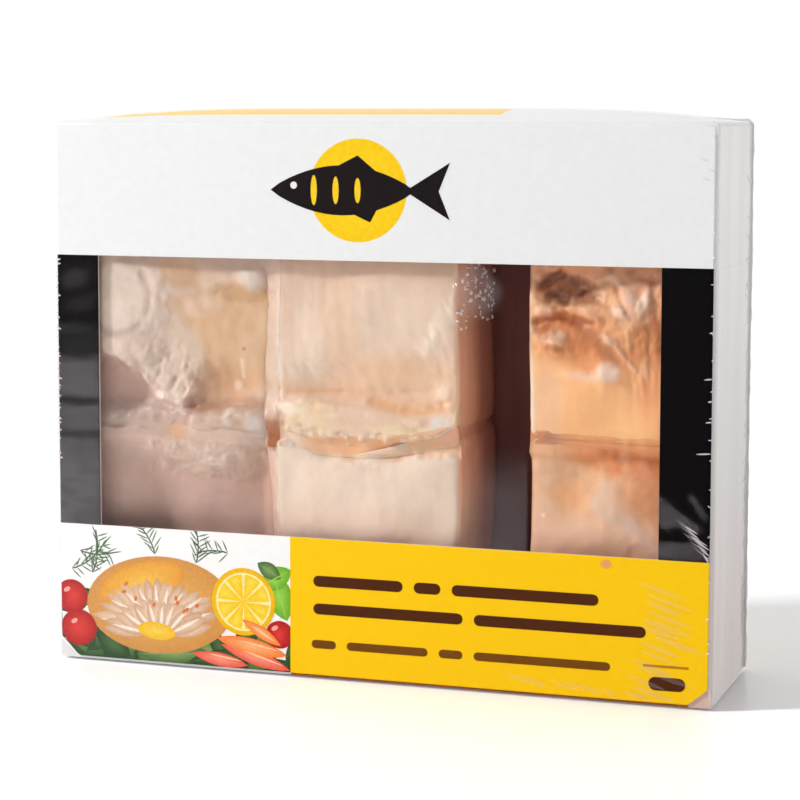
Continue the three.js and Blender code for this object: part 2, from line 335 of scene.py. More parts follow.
def film_material(name, milk, roughness, wrinkle, grazing_gloss, milk_tone=0.95):
    """Clear shrink film: see-through, with a gloss that fine wrinkles break up, a trace of milk, and the
    milky painted reflections kept in the film's attribute.
    """
    material, nodes, links, shader = new_material(name)
    nodes.remove(shader)
    clear = add_node(nodes, "ShaderNodeBsdfTransparent", Color=(1, 1, 1, 1))
    milky = (milk_tone, milk_tone * 0.9, milk_tone * 0.95, 1)
    cloudy = add_node(nodes, "ShaderNodeBsdfDiffuse", Color=milky)
    gloss = add_node(nodes, "ShaderNodeBsdfGlossy", Color=(1, 1, 1, 1), Roughness=roughness)
    facing = add_node(nodes, "ShaderNodeLayerWeight", Blend=0.5)
    grazing = add_node(nodes, "ShaderNodeMath", operation="POWER")
    grazing.inputs[1].default_value = 4.0
    edge = add_node(nodes, "ShaderNodeMath", operation="MULTIPLY_ADD")
    edge.inputs[1].default_value = grazing_gloss
    edge.inputs[2].default_value = 0.03
    links.new(facing.outputs["Facing"], grazing.inputs[0])
    links.new(grazing.outputs["Value"], edge.inputs[0])
    body = add_node(nodes, "ShaderNodeMixShader")
    whole = add_node(nodes, "ShaderNodeMixShader")
    bump = add_node(nodes, "ShaderNodeBump", Strength=wrinkle, Distance=0.0003)
    links.new(object_noise(nodes, links, 70, 1, (0.5, 1, 1.4)), bump.inputs["Height"])
    links.new(bump.outputs["Normal"], gloss.inputs["Normal"])
    links.new(bump.outputs["Normal"], facing.inputs["Normal"])
    # The painted reflections, read from the film's attribute, add to its milk.
    painted = add_node(nodes, "ShaderNodeAttribute", attribute_name="haze")
    streaks = spread(nodes, links, object_noise(nodes, links, 200, 4, (1, 1, 2.2)), 0.3, 0.7, 0.16, 0.24)
    hazy = add_node(nodes, "ShaderNodeMath", operation="MULTIPLY_ADD")
    hazy.inputs[2].default_value = milk
    links.new(painted.outputs["Fac"], hazy.inputs[0])
    links.new(streaks, hazy.inputs[1])
    links.new(hazy.outputs["Value"], body.inputs["Fac"])
    links.new(clear.outputs["BSDF"], body.inputs[1])
    links.new(cloudy.outputs["BSDF"], body.inputs[2])
    links.new(edge.outputs["Value"], whole.inputs["Fac"])
    links.new(body.outputs["Shader"], whole.inputs[1])
    links.new(gloss.outputs["BSDF"], whole.inputs[2])
    links.new(whole.outputs["Shader"], nodes["Material Output"].inputs["Surface"])
    return material


WHITE_BOARD = board_material("white_coated_board", linear(236, 236, 236), 0.5)
GREY_BOARD = board_material("pale_grey_board", linear(228, 225, 226), 0.5)
BLACK_INK = board_material("black_ink", linear(9, 5, 8), 0.5, mottle=0.2)
YELLOW_INK = board_material("warm_yellow_ink", (1.0, 0.61, 0.003, 1), 0.5)
PICTURE_INK = board_material("picture_ground_ink", linear(250, 249, 248), 0.5)
END_BOARD_PAINTED_SHADE = end_board_painted_shade_material()
# The tray's front under the flap's lower edge: dark orange brown, painted shade warmed by the yellow.
TRAY_PAINTED_SHADE = board_material("tray_board_in_yellow_shade", linear(176, 96, 34), 0.6, mottle=0.2)
# The tray at the cut corner: pale pinkish tan, a painted warm reflection.
CORNER_PAINTED_REFLECTION = board_material("tray_board_at_the_corner", linear(222, 190, 176), 0.6, mottle=0.1)
# The inside of the box: a reddish brown with upright streaks, painted shade of the closed box.
INSIDE_PAINTED_SHADE = board_material("dark_inside_board", linear(184, 116, 108), 0.7, 0.3, 90, (1, 1, 0.15))
RAW_EDGE = board_material("raw_board_edge", linear(236, 226, 222), 0.8, mottle=0.1)
SHAPES_INK = painted_ink_material()
FLESH = flesh_material()
FROST = frost_material()
FILM = film_material("clear_shrink_film", 0.002, 0.08, 0.2, 0.5)
FOLDED_FILM = film_material("stretched_film_folds", 0.1, 0.25, 0.3, 0.25)
SOFT_FOLD_FILM = film_material("soft_film_streaks", 0.025, 0.6, 0.1, 0.0)
# Fine creases of the film, milky white: painted glints.
GLINT_PAINTED_CREASE_FILM = film_material("white_film_creases", 0.5, 0.3, 0.3, 0.25)
# The seam's film is milky grey: painted shade.
SEAM_PAINTED_SHADE_FILM = film_material("welded_film_seam", 0.3, 0.3, 0.4, 0.3, 0.4)


# ---- The pack's form, which the carton and the film share ----

def top_crown(x, y):
    """How far the top panel swells above its folds, pushed up by the frozen load."""
    along = np.maximum(0, 1 - np.abs(x / (CARTON_WIDTH / 2 - FOLD_RADIUS)) ** 5)
    across = np.maximum(0, 1 - np.abs(y / (CARTON_DEPTH / 2 - FOLD_RADIUS)) ** 2.4)
    return TOP_CROWN * along * across


def fold_lines(flat, radius, step, fold_steps=3):
    """Places along one side: even steps over the flat, and finer ones round each fold."""
    inner = np.linspace(-flat, flat, round(2 * flat / step) + 1)
    bend = flat + radius * np.tan(np.linspace(0, math.pi / 4, fold_steps + 1)[1:])
    return np.concatenate([-bend[::-1], inner, bend])


def pack_surface(offset, step):
    """Points, normals and quads of the closed form of the carton, moved out by an offset."""
    radius = FOLD_RADIUS + offset
    flats = np.array([CARTON_WIDTH, CARTON_DEPTH, CARTON_HEIGHT]) / 2 - FOLD_RADIUS
    lines = [fold_lines(flat, radius, step) for flat in flats]
    cube, quads = [], []
    for axis in range(3):
        first, second = (axis + 1) % 3, (axis + 2) % 3
        for way in (-1, 1):
            side = np.zeros((len(lines[first]), len(lines[second]), 3))
            side[..., first], side[..., second] = np.meshgrid(lines[first], lines[second], indexing="ij")
            side[..., axis] = way * (flats[axis] + radius)
            number = sum(map(len, cube)) + np.arange(side.shape[0] * side.shape[1]).reshape(side.shape[:2])
            ring = [number[:-1, :-1], number[1:, :-1], number[1:, 1:], number[:-1, 1:]][::way]
            quads.append(np.stack(ring, axis=-1).reshape(-1, 4))
            cube.append(side.reshape(-1, 3))
    _, keep, merged = np.unique(np.round(np.vstack(cube), 4), axis=0, return_index=True, return_inverse=True)
    corner = np.vstack(cube)[keep]
    core = np.clip(corner, -flats, flats)
    normals = corner - core
    normals /= np.linalg.norm(normals, axis=1, keepdims=True)
    points = core + normals * radius
    points[:, 2] += CARTON_BASE + CARTON_HEIGHT / 2
    points[:, 2] += np.where(corner[:, 2] > flats[2], top_crown(core[:, 0], core[:, 1]), 0)
    return points, normals, merged.ravel()[np.vstack(quads)]


# ---- Masks drawn on the front ----

class FrontMasks:
    """Masks over a piece's points, from 0 to 1, drawn in (x, z) millimetres on the front.

    Ragged is how far noise moves a mask's outline, and soft is how wide its edge is.
    """

    def __init__(self, points, seed):
        self.points = points
        self.x, self.z = points[:, 0], points[:, 2]
        self.seed = seed

    def noise(self, size, stretch=1.0, turn=0.0, layers=3):
        """Noise over the front, stretched along a direction that is turned from upright."""
        self.seed += 7
        tilt = math.radians(turn)
        along = self.x * math.sin(tilt) + self.z * math.cos(tilt)
        across = self.x * math.cos(tilt) - self.z * math.sin(tilt)
        place = np.stack([across, self.points[:, 1] * 0.5, along / stretch], axis=1)
        return layered_noise(place, size, self.seed, layers)

    def edge(self, inside, soft, ragged):
        """A mask from a distance inside an outline, with an uneven edge."""
        if ragged:
            inside = inside + ragged * self.noise(max(1.8, 2.8 * ragged))
        return smooth(inside / soft + 0.5)

    def oval(self, x, z, reach_x, reach_z, turn=0.0, soft=1.5, ragged=0.8):
        """An oval patch."""
        tilt = math.radians(turn)
        along = (self.x - x) * math.cos(tilt) + (self.z - z) * math.sin(tilt)
        up = (self.z - z) * math.cos(tilt) - (self.x - x) * math.sin(tilt)
        away = np.hypot(along / reach_x, up / reach_z)
        return self.edge((1 - away) * min(reach_x, reach_z), soft, ragged)

    def side_oval(self, y, z, reach_y, reach_z, soft=1.5, ragged=0.8):
        """An oval patch on the right flank, by depth and height."""
        away = np.hypot((self.points[:, 1] - y) / reach_y, (self.z - z) / reach_z)
        flank = smooth(self.normals[:, 0] * 2) * (self.x > self.x.max() - 8)
        return self.edge((1 - away) * min(reach_y, reach_z), soft, ragged) * flank

    def away_from(self, places):
        """The distance to a line through places."""
        away = np.full(len(self.x), 1e9)
        for (x0, z0), (x1, z1) in zip(places, places[1:]):
            along_x, along_z = x1 - x0, z1 - z0
            part = ((self.x - x0) * along_x + (self.z - z0) * along_z) / (along_x**2 + along_z**2)
            part = np.clip(part, 0, 1)
            away = np.minimum(away, np.hypot(self.x - x0 - part * along_x, self.z - z0 - part * along_z))
        return away

    def band(self, places, width, soft=1.0, ragged=0.5):
        """A band along a line through places, of a full width."""
        return self.edge(width / 2 - self.away_from(places), soft, ragged)

    def under(self, places, soft=1.0, ragged=0.6):
        """Everything below a line through places."""
        line = np.interp(self.x, [x for x, _ in places], [z for _, z in places])
        return self.edge(line - self.z, soft, ragged)

    def patch_of(self, corners, soft=1.0, ragged=0.5):
        """The inside of a many-sided outline."""
        within = np.zeros(len(self.x), bool)
        closed = corners + corners[:1]
        for (x0, z0), (x1, z1) in zip(closed, closed[1:]):
            if z0 == z1:
                continue
            crosses = (z0 > self.z) != (z1 > self.z)
            within ^= crosses & (self.x < (x1 - x0) * (self.z - z0) / (z1 - z0) + x0)
        return self.edge(np.where(within, 1, -1) * self.away_from(closed), soft, ragged)


# ---- Carton ----

BOARD_SLOTS = [WHITE_BOARD, GREY_BOARD, BLACK_INK, YELLOW_INK, PICTURE_INK, INSIDE_PAINTED_SHADE, RAW_EDGE,
               END_BOARD_PAINTED_SHADE, TRAY_PAINTED_SHADE, CORNER_PAINTED_REFLECTION]


def board_slot(centre, normal):
    """The printed field that a face of the carton lies in, by where it is and how it faces; the tray, its cut
    corner, the ends and the inside take painted shade and reflection instead.
    """
    x, y, z = centre
    skin = BOARD * 0.7
    top = CARTON_BASE + CARTON_HEIGHT
    inner_front = FRONT_FACE + 2 * BOARD
    faces_up, faces_end = normal[2] > 0.3, abs(normal[0]) > 0.5
    outside = (
        abs(x) > CARTON_WIDTH / 2 - skin
        or y > CARTON_HIGH[1] - skin
        or z < CARTON_BASE + skin
        or (faces_up and z > top - skin)
        or (y < inner_front - 0.1 and normal[1] < 0.5)
    )
    # Faces inside the box take the painted shade.
    if not outside:
        return INSIDE_PAINTED_SHADE
    if y < FRONT_FACE + BOARD / 2 and normal[1] < -0.5:
        if z > WINDOW_HIGH:
            return WHITE_BOARD
        if z > WINDOW_LOW:
            return BLACK_INK
        return PICTURE_INK if x < PICTURE_RIGHT else YELLOW_INK
    # The tray's front under the flap's lower edge is painted shade, and at the cut corner a painted warm
    # reflection.
    if y < inner_front and z < CARTON_BASE + TRAY_SHOWS and x > PICTURE_RIGHT and not faces_end:
        return TRAY_PAINTED_SHADE if x < CORNER_CUT else CORNER_PAINTED_REFLECTION
    near_window = WINDOW_LEFT - 4 < x < WINDOW_RIGHT + 4 and WINDOW_LOW - 4 < z < WINDOW_HIGH + 4
    if y < inner_front and near_window:
        return RAW_EDGE
    if faces_up and z > top - FOLD_RADIUS and y > FRONT_FACE + 0.5:
        return YELLOW_INK if x < TOP_YELLOW_RIGHT and y > TOP_YELLOW_FRONT else WHITE_BOARD
    if y > CARTON_HIGH[1] - BOARD / 2 and z < WINDOW_LOW:
        return YELLOW_INK
    if faces_end:
        return END_BOARD_PAINTED_SHADE
    return WHITE_BOARD if z > WINDOW_HIGH else GREY_BOARD


def make_carton():
    """The folded board: the solid's own form, cut along its printed borders and the edges of its painted
    shade, with folds shaded soft.
    """
    mesh = merged_copy("carton")
    form = bmesh.new()
    form.from_mesh(mesh)
    cuts = [((0, 0, z), (0, 0, 1)) for z in (WINDOW_LOW, WINDOW_HIGH)]
    cuts += [((x, 0, 0), (1, 0, 0))
             for x in (WINDOW_LEFT, WINDOW_RIGHT, PICTURE_RIGHT, TOP_YELLOW_RIGHT, CORNER_CUT)]
    cuts.append(((0, TOP_YELLOW_FRONT, 0), (0, 1, 0)))
    for point, direction in cuts:
        everything = form.verts[:] + form.edges[:] + form.faces[:]
        place = Vector(point) * MM
        bmesh.ops.bisect_plane(form, geom=everything, plane_co=place, plane_no=direction, dist=1e-7)
    for face in form.faces:
        slot = board_slot(tuple(c / MM for c in face.calc_center_median()), tuple(face.normal))
        face.material_index = BOARD_SLOTS.index(slot)
    form.to_mesh(mesh)
    form.free()
    for material in BOARD_SLOTS:
        mesh.materials.append(material)
    mesh.set_sharp_from_angle(angle=math.radians(50))
    # Panels are shaded flat, so that the folds' soft shading doesn't run out over them.
    rounded = [max(abs(c) for c in face.normal) < 0.999 for face in mesh.polygons]
    mesh.polygons.foreach_set("use_smooth", rounded)
    carton = bpy.data.objects.new("folded_carton", mesh)
    bpy.context.scene.collection.objects.link(carton)
    place_piece(carton, "board", "carton")


END_FLAP_RISE = 0.14


def make_end_flaps():
    """The glued flap on each end of the carton, up to the height of the window's upper edge."""
    points, faces = [], []
    front, back = FRONT_FACE + 2.0, -FRONT_FACE - 2.2
    low, high = CARTON_BASE + 2.2, WINDOW_HIGH - 0.4
    bevel = 0.25
    for way in (-1, 1):
        start = len(points)
        for out, inset in ((0.0, 0.0), (END_FLAP_RISE, bevel)):
            x = way * (CARTON_WIDTH / 2 + out)
            ring = [(front + inset, low + inset), (back - inset, low + inset),
                    (back - inset, high - inset), (front + inset, high - inset)]
            points += [(x, y, z) for y, z in ring]
        sides = [(start + i, start + (i + 1) % 4, start + 4 + (i + 1) % 4, start + 4 + i) for i in range(4)]
        caps = [(start + 3, start + 2, start + 1, start), (start + 4, start + 5, start + 6, start + 7)]
        faces += [face[::way] for face in sides + caps]
    flaps = mesh_piece("end_flaps", points, faces, [END_BOARD_PAINTED_SHADE], smooth_shaded=False)
    place_piece(flaps, "board")


# ---- Printed shapes ----

INK_STEP = 0.02
INK_SHIFT = 0.0006
PICTURE_EDGES = (-104.0, PICTURE_RIGHT, CARTON_BASE + 0.95, WINDOW_LOW)


class InkSheet:
    """Shapes printed on the front, each a very thin closed disc, with its own edge and middle tones."""

    def __init__(self):
        self.points, self.faces, self.tones = [], [], []
        self.count = 0

    def shape(self, outline, layer, edge, middle=None):
        """Prints one star-shaped outline of (x, z) places; a higher layer lies over a lower one."""
        outline = np.asarray(outline, float)
        count = len(outline)
        start = len(self.points)
        front = FRONT_FACE - INK_STEP * (layer + 1) - INK_SHIFT * (self.count % 31)
        ring = [(x, front, z) for x, z in outline] + [(x, FRONT_FACE, z) for x, z in outline]
        self.count += 1
        centre = outline.mean(axis=0)
        self.points += ring + [(centre[0], front, centre[1]), (centre[0], FRONT_FACE, centre[1])]
        for i in range(count):
            a, b = start + i, start + (i + 1) % count
            self.faces += [(a, b, start + 2 * count), (b, a, a + count, b + count),
                           (b + count, a + count, start + 2 * count + 1)]
        self.tones += [linear(*edge)] * (2 * count) + [linear(*(middle or edge))] * 2

    def picture(self, outline, layer, edge, middle=None):
        """Prints a shape inside the edges of the picture field."""
        left, right, low, high = PICTURE_EDGES
        outline = np.asarray(outline, float)
        outline[:, 1] = np.clip(outline[:, 1], low, high)
        outline[:, 0] = np.clip(outline[:, 0], left, right)
        cut_corner = np.maximum(0, left + 6 - outline[:, 0] - (outline[:, 1] - low))
        outline += cut_corner[:, None] / 2
        self.shape(outline, layer, edge, middle)

    def make(self, name):
        """The sheet as one mesh, with its faces pointing out and its tones kept."""
        sheet = mesh_piece(name, self.points, self.faces, [SHAPES_INK], smooth_shaded=False)
        point_outwards(sheet.data)
        paint(sheet.data, "ink", self.tones)
        return sheet


def oval_outline(x, z, reach_x, reach_z, turn=0.0, steps=28, start=0.0, sweep=360.0):
    """Places round an oval, or along an arc of it with its centre as the last place."""
    angles = np.radians(start + sweep * np.arange(steps + (sweep < 360)) / steps)
    along, up = reach_x * np.cos(angles), reach_z * np.sin(angles)
    if sweep < 360:
        along, up = np.append(along, 0), np.append(up, 0)
    tilt = math.radians(turn)
    return np.stack([x + along * math.cos(tilt) - up * math.sin(tilt),
                     z + along * math.sin(tilt) + up * math.cos(tilt)], axis=1)


def bar_outline(left, right, low, high):
    """Places round a bar with round ends."""
    radius = (high - low) / 2
    bend = np.radians(np.linspace(-90, 90, 9))
    out, up = radius * np.cos(bend), radius * np.sin(bend)
    right_end = np.stack([right - radius + out, low + radius + up], axis=1)
    left_end = np.stack([left + radius - out, low + radius - up], axis=1)
    return np.vstack([right_end, left_end])


def leaf_outline(x, z, length, width, turn, steps=10):
    """Places round a pointed leaf that grows from (x, z) in the direction of its turn."""
    part = np.linspace(0, 1, steps + 1)
    half = width / 2 * np.sin(math.pi * part) ** 0.8
    along = np.concatenate([part, part[-2:0:-1]]) * length
    up = np.concatenate([half, -half[-2:0:-1]])
    tilt = math.radians(turn)
    return np.stack([x + along * math.cos(tilt) - up * math.sin(tilt),
                     z + along * math.sin(tilt) + up * math.cos(tilt)], axis=1)


BROWN = (84, 40, 14)
LINE_BROWN = (120, 72, 12)


def print_emblem(sheet):
    """A plain fish over a yellow sun, in the middle of the white header."""
    x, z = -5.0, CARTON_BASE + 149.5
    sheet.shape(oval_outline(x + 1, z, 15.5, 15.5, steps=48), 0, (250, 204, 20), (254, 214, 40))
    dark = (30, 22, 24)
    sheet.shape(leaf_outline(x - 27, z, 46, 15, 0, 16), 1, dark)
    sheet.shape([(x + 16, z), (x + 30, z + 8.5), (x + 26.5, z), (x + 30, z - 8.5)], 1, dark)
    sheet.shape([(x - 9, z + 5.5), (x + 1, z + 10.5), (x + 9, z + 4)], 1, dark)
    sheet.shape([(x - 4, z - 5.5), (x + 5, z - 9.5), (x + 8, z - 4)], 1, dark)
    sheet.shape(oval_outline(x - 19.5, z + 1.4, 1.1, 1.1, steps=12), 2, (246, 240, 230))
    for step in range(3):
        gill = oval_outline(x - 13 + 7 * step, z, 1.0, 4.6 - 0.4 * step, steps=14)
        sheet.shape(gill, 2, (250, 208, 40))


# Each row of plain bars on the yellow field: its lower and upper edge, its tone, and each bar's ends.
BAR_ROWS = [
    (28.4, 31.8, BROWN, [(-18.4, 10.5), (14, 22.5), (26, 71.3)]),
    (19.8, 23.2, BROWN, [(-18.4, 29.5), (33, 85.6)]),
    (9.2, 11.8, LINE_BROWN, [(-19, -11), (-7.5, 18.5), (22, 29.5), (33, 75)]),
]


def print_bars(sheet):
    """Rows of plain bars on the yellow field, and a small mark at its lower right."""
    for low, high, tone, bars in BAR_ROWS:
        for left, right in bars:
            sheet.shape(bar_outline(left, right, CARTON_BASE + low, CARTON_BASE + high), 0, tone)
    sheet.shape(bar_outline(86.5, 97.5, CARTON_BASE + 4.6, CARTON_BASE + 8.6), 0, BROWN)
    sheet.shape(bar_outline(84.8, 98.5, CARTON_BASE + 11.4, CARTON_BASE + 12.2), 0, (190, 130, 20))
    sheet.shape(oval_outline(73.4, 41.6, 1.7, 1.4), 0, (242, 176, 84), (238, 160, 110))


def print_herbs(sheet, random):
    """Feathery sprigs of green along the top of the picture."""
    for x, z, turn, count in ((-102, 29, 14, 9), (-99, 36, -20, 7), (-94, 27, 62, 8), (-71, 34, 104, 7),
                              (-58, 32, 72, 7), (-45, 37, 165, 6)):
        for step in range(count):
            tilt = math.radians(turn + 5 * step)
            x, z = x + 1.7 * math.cos(tilt), z + 1.7 * math.sin(tilt)
            sheet.picture(leaf_outline(x, z, 2.4, 0.5, turn + 5 * step, 4), 0, (76, 104, 70))
            for way in (-1, 1):
                long, lean = random.uniform(3.4, 5.2), way * random.uniform(25, 60)
                needle = leaf_outline(x, z, long, 0.42, turn + lean, 4)
                sheet.picture(needle, 0, (70, 100, 66), (112, 140, 96))


def print_greens(sheet, random):
    """Dark leaves and pods along the foot and both edges of the picture."""
    greens = [((46, 74, 44), (80, 116, 64)), ((78, 112, 60), (136, 166, 98)),
              ((110, 176, 48), (160, 216, 84))]
    for step in range(11):
        high, tilt = random.uniform(2.4, 4.4), random.uniform(-9, 9)
        sheet.picture(oval_outline(-100 + 7 * step, CARTON_BASE + 2.4, 7, high, tilt, 20), 0, *greens[0])
    for step in range(26):
        x = -105 + 3.1 * step
        kind = 0 if step % 3 else 1
        root, length, width, turn = [random.uniform(*ends) for ends in ((0.5, 5), (9, 15), (5, 8), (15, 165))]
        sheet.picture(leaf_outline(x, CARTON_BASE + root, length, width, turn), 1, *greens[kind])
    leaves = [(-104, 15, 13, 7, 35, 0), (-103, 22, 11, 6, -20, 1), (-27, 17, 15, 9, 108, 2),
              (-36, 27, 12, 7, 30, 2), (-29, 30, 9, 5, 150, 1), (-78, 3, 26, 6, 4, 1), (-60, 2, 24, 6, 8, 0)]
    for x, z, length, width, turn, kind in leaves:
        edge, middle = greens[kind]
        sheet.picture(leaf_outline(x, CARTON_BASE + z, length, width, turn), 2, edge, middle)
        sheet.picture(leaf_outline(x, CARTON_BASE + z, length * 0.9, 0.5, turn), 3, middle)


def print_vegetables(sheet):
    """Red tomatoes, tapered carrots and a round of lemon."""
    for x, z, size in ((-100.5, 20, 5.6), (-98, 10, 6.2), (-29.5, 12.5, 4.6)):
        height = CARTON_BASE + z
        sheet.picture(oval_outline(x, height, size, size * 0.94), 3, (178, 30, 30), (228, 64, 56))
        sheet.picture(oval_outline(x - 1.6, height + 2.0, 1.2, 0.7, 30), 4, (246, 170, 160))
    for x, z, length, width, turn, tone in ((-26, 1.5, 24, 4.8, 164, 1), (-27, 6, 24, 5.2, 170, 0),
                                            (-40, 2, 19, 4.2, 172, 1), (-29, 9, 15, 3.6, 150, 0)):
        edge, middle = (((250, 132, 56), (255, 186, 124)), ((240, 96, 76), (252, 156, 132)))[tone]
        sheet.picture(leaf_outline(x, CARTON_BASE + z, length, width, turn), 8, edge, middle)
        sheet.picture(leaf_outline(x - 2, CARTON_BASE + z + 1.3, length * 0.6, 0.6, turn), 9, (255, 204, 160))
    x, z = -41.5, CARTON_BASE + 22.0
    sheet.picture(oval_outline(x, z, 10.6, 10.6, steps=40), 5, (244, 186, 10), (252, 214, 50))
    sheet.picture(oval_outline(x, z, 9.2, 9.2, steps=40), 6, (253, 238, 160))
    for step in range(8):
        wedge = oval_outline(x, z, 8.5, 8.5, steps=6, start=45 * step + 4, sweep=37)
        sheet.picture(wedge, 7, (250, 202, 20), (254, 224, 84))


def print_fish_dish(sheet, random):
    """A cooked portion with an orange crust, opening in two rows of pale flakes."""
    x, z = -70.0, CARTON_BASE + 10.5
    sheet.picture(oval_outline(x, z + 8.5, 25, 15.5, 2, 44), 3, (214, 150, 78), (240, 184, 92))
    sheet.picture(oval_outline(x - 6, z + 15, 15, 6.5, 18, 36), 4, (232, 160, 60), (248, 196, 84))
    for row, (lift, reach, layer) in enumerate(((3.0, 19.5, 4), (-1.0, 17.0, 6))):
        for step in range(17):
            turn = 176 - 10.2 * step + random.uniform(-2, 2)
            tilt = math.radians(turn)
            root = (x + 4 * math.cos(tilt), z + lift + 1.6 * math.sin(tilt))
            length = (reach - 7.5 * abs(math.sin(tilt))) * random.uniform(0.93, 1.05)
            pale = random.uniform(-10, 8)
            edge = (214 + pale, 172 + pale, 140 + pale)
            middle = (242, 214 + pale / 2, 186 + pale / 2)
            sheet.picture(leaf_outline(*root, length, 4.2, turn), layer, edge, middle)
            if step % 2 == row:
                streak = leaf_outline(*root, length * 0.85, 1.1, turn + 4)
                sheet.picture(streak, layer + 1, (246, 226, 206), (252, 240, 228))
    sheet.picture(oval_outline(x - 1, z + 0.2, 6.5, 2.8, -6), 8, (244, 190, 40), (252, 214, 84))
    for step in range(9):
        right, up, turn = random.uniform(-14, 14), random.uniform(4, 15), random.uniform(0, 90)
        sheet.picture(oval_outline(x + right, z + up, 0.8, 0.5, turn, 10), 9, (226, 120, 60))


def make_print():
    """All the shapes printed on the front, as one piece."""
    random = np.random.default_rng(7)
    sheet = InkSheet()
    print_emblem(sheet)
    print_bars(sheet)
    print_herbs(sheet, random)
    print_greens(sheet, random)
    print_vegetables(sheet)
    print_fish_dish(sheet, random)
    place_piece(sheet.make("front_print"), "board")


# ---- Loins ----

VOXEL = 0.55
LOIN_FRONT = FRONT_FACE + 4.0
# Nothing stands further forward than the limit. A proud lump is pressed back softly from a little behind it.
FRONT_LIMIT = FRONT_FACE + 2 * BOARD + 0.3
PRESS_START = 1.5
PRESS_DEPTH = 1.1
SWELL = 0.27
TONE_GAIN = 1.10
PALEST = 0.97

# Flesh tones. Some stand for light: the tone for sunk places and fold are painted shade in hollows and
# creases, the flank tones are painted shade that deepens into the box, and the lightest mauve is painted
# light; tan, peach, peach_deep and russet are the flesh's own tones in some places and painted shade in
# others, and mauve_pale is painted light on the lower left loin.
TONES = {
    "white_flake": (246, 226, 210),
    "cream_white": (236, 212, 194),
    "cream": (229, 205, 186),
    "lilac": (229, 206, 191),
    "cream_grey": (214, 189, 174),
    "crumb_grey": (208, 181, 168),
    "ice": (226, 212, 206),
    "yellow_cream": (236, 208, 172),
    "pink_cream": (229, 194, 173),
    "peach": (230, 186, 152),
    "peach_deep": (228, 174, 132),
    "warm_peach": (243, 182, 128),
    "pale_amber": (226, 183, 149),
    "amber": (221, 176, 139),
    "ochre": (204, 158, 118),
    "orange": (220, 146, 98),
    "rust": (186, 106, 62),
    "hollow_shade": (200, 149, 117),
    "fold": (192, 165, 150),
    "tan": (198, 155, 130),
    "russet": (184, 130, 104),
    "mauve": (206, 170, 156),
    "mauve_dark": (186, 152, 142),
    "mauve_pale": (222, 188, 174),
    "mauve_light": (250, 216, 202),
    "flank_edge": (246, 200, 170),
    "flank": (232, 170, 142),
    "flank_mid": (196, 134, 116),
    "flank_deep": (136, 84, 82),
    "umber": (150, 106, 82),
    "brown": (138, 84, 62),
    "dark_brown": (104, 62, 48),
}


class LoinFace(FrontMasks):
    """A loin while its front is modelled: how far each point is raised, and its tone."""

    def __init__(self, points, normals, base, seed):
        super().__init__(points, seed)
        self.normals = normals
        self.rise = np.zeros(len(points))
        self.fill = np.zeros(len(points))
        self.tone = np.tile(linear(*TONES[base])[:3], (len(points), 1))
        self.frost = np.zeros(len(points))

    def patch(self, mask, rise=0.0, tone=None, strength=1.0):
        """Raises the points of a mask (or sinks them, below zero) and tints them."""
        self.rise += rise * mask
        if tone:
            self.tone += (np.array(linear(*TONES[tone])[:3]) - self.tone) * (strength * mask)[:, None]

    def tint(self, mask, red, green, blue):
        """Multiplies the tones inside a mask."""
        self.tone *= 1 + mask[:, None] * (np.array([red, green, blue]) - 1)

    def fill_out(self, mask, share=0.8):
        """Brings a rounded edge forward, towards the plane of the front."""
        behind = np.clip(self.points[:, 1] - LOIN_FRONT, 0, 3.0)
        self.fill = np.maximum(self.fill, share * mask * behind)

    def crumble(self, mask, height=0.7, tone="white_flake", strength=0.5):
        """Breaks a mask's surface up into soft crumbs: their tops paler, partly the flakes' own white and
        partly painted highlight, and their crevices tan as painted shade.
        """
        lumps = 0.6 * self.noise(3.4, layers=2) + 0.5 * self.noise(2.0, layers=2)
        self.rise += height * lumps * mask
        self.patch(mask * smooth(lumps * 2.2), 0.1, tone, min(1, strength * 1.3))
        self.patch(mask * smooth(-lumps * 2.2 - 0.1), 0.0, "tan", 0.45)

    def fibres(self, mask, turn, height=0.3, size=1.5, stretch=6.0, shade=0.05):
        """Fine grain of the flesh along a direction, inside a mask."""
        grain = self.noise(size, stretch, turn, 2)
        self.rise += height * grain * mask
        self.tone *= (1 + shade * grain * mask)[:, None]

    def mottle(self, mask, dark, pale, size=2.2, strength=0.6, height=0.3):
        """Breaks a mask's surface into small torn hollows of one tone and flakes of another."""
        lumps = 0.7 * self.noise(size, 1.6, 35, 3) + 0.5 * self.noise(size * 0.55, 1.3, -20, 2)
        self.patch(mask * smooth(lumps * 1.8 - 0.1), 0.0, pale, strength)
        self.patch(mask * smooth(-lumps * 1.8 - 0.1), 0.0, dark, strength)
        self.rise += height * lumps * mask

    def flank(self, tones):
        """Paints shade on the right flank by its depth: (y, tone) from the front edge backwards, darker
        deeper in the box.
        """
        side = smooth((self.normals[:, 0] - 0.35) / 0.4)
        depth = self.points[:, 1] + 0.8 * self.noise(5)
        shades = np.array([linear(*TONES[tone])[:3] for _, tone in tones])
        blend = np.stack([np.interp(depth, [y for y, _ in tones], shades[:, i]) for i in range(3)], axis=1)
        self.tone += (blend - self.tone) * side[:, None]


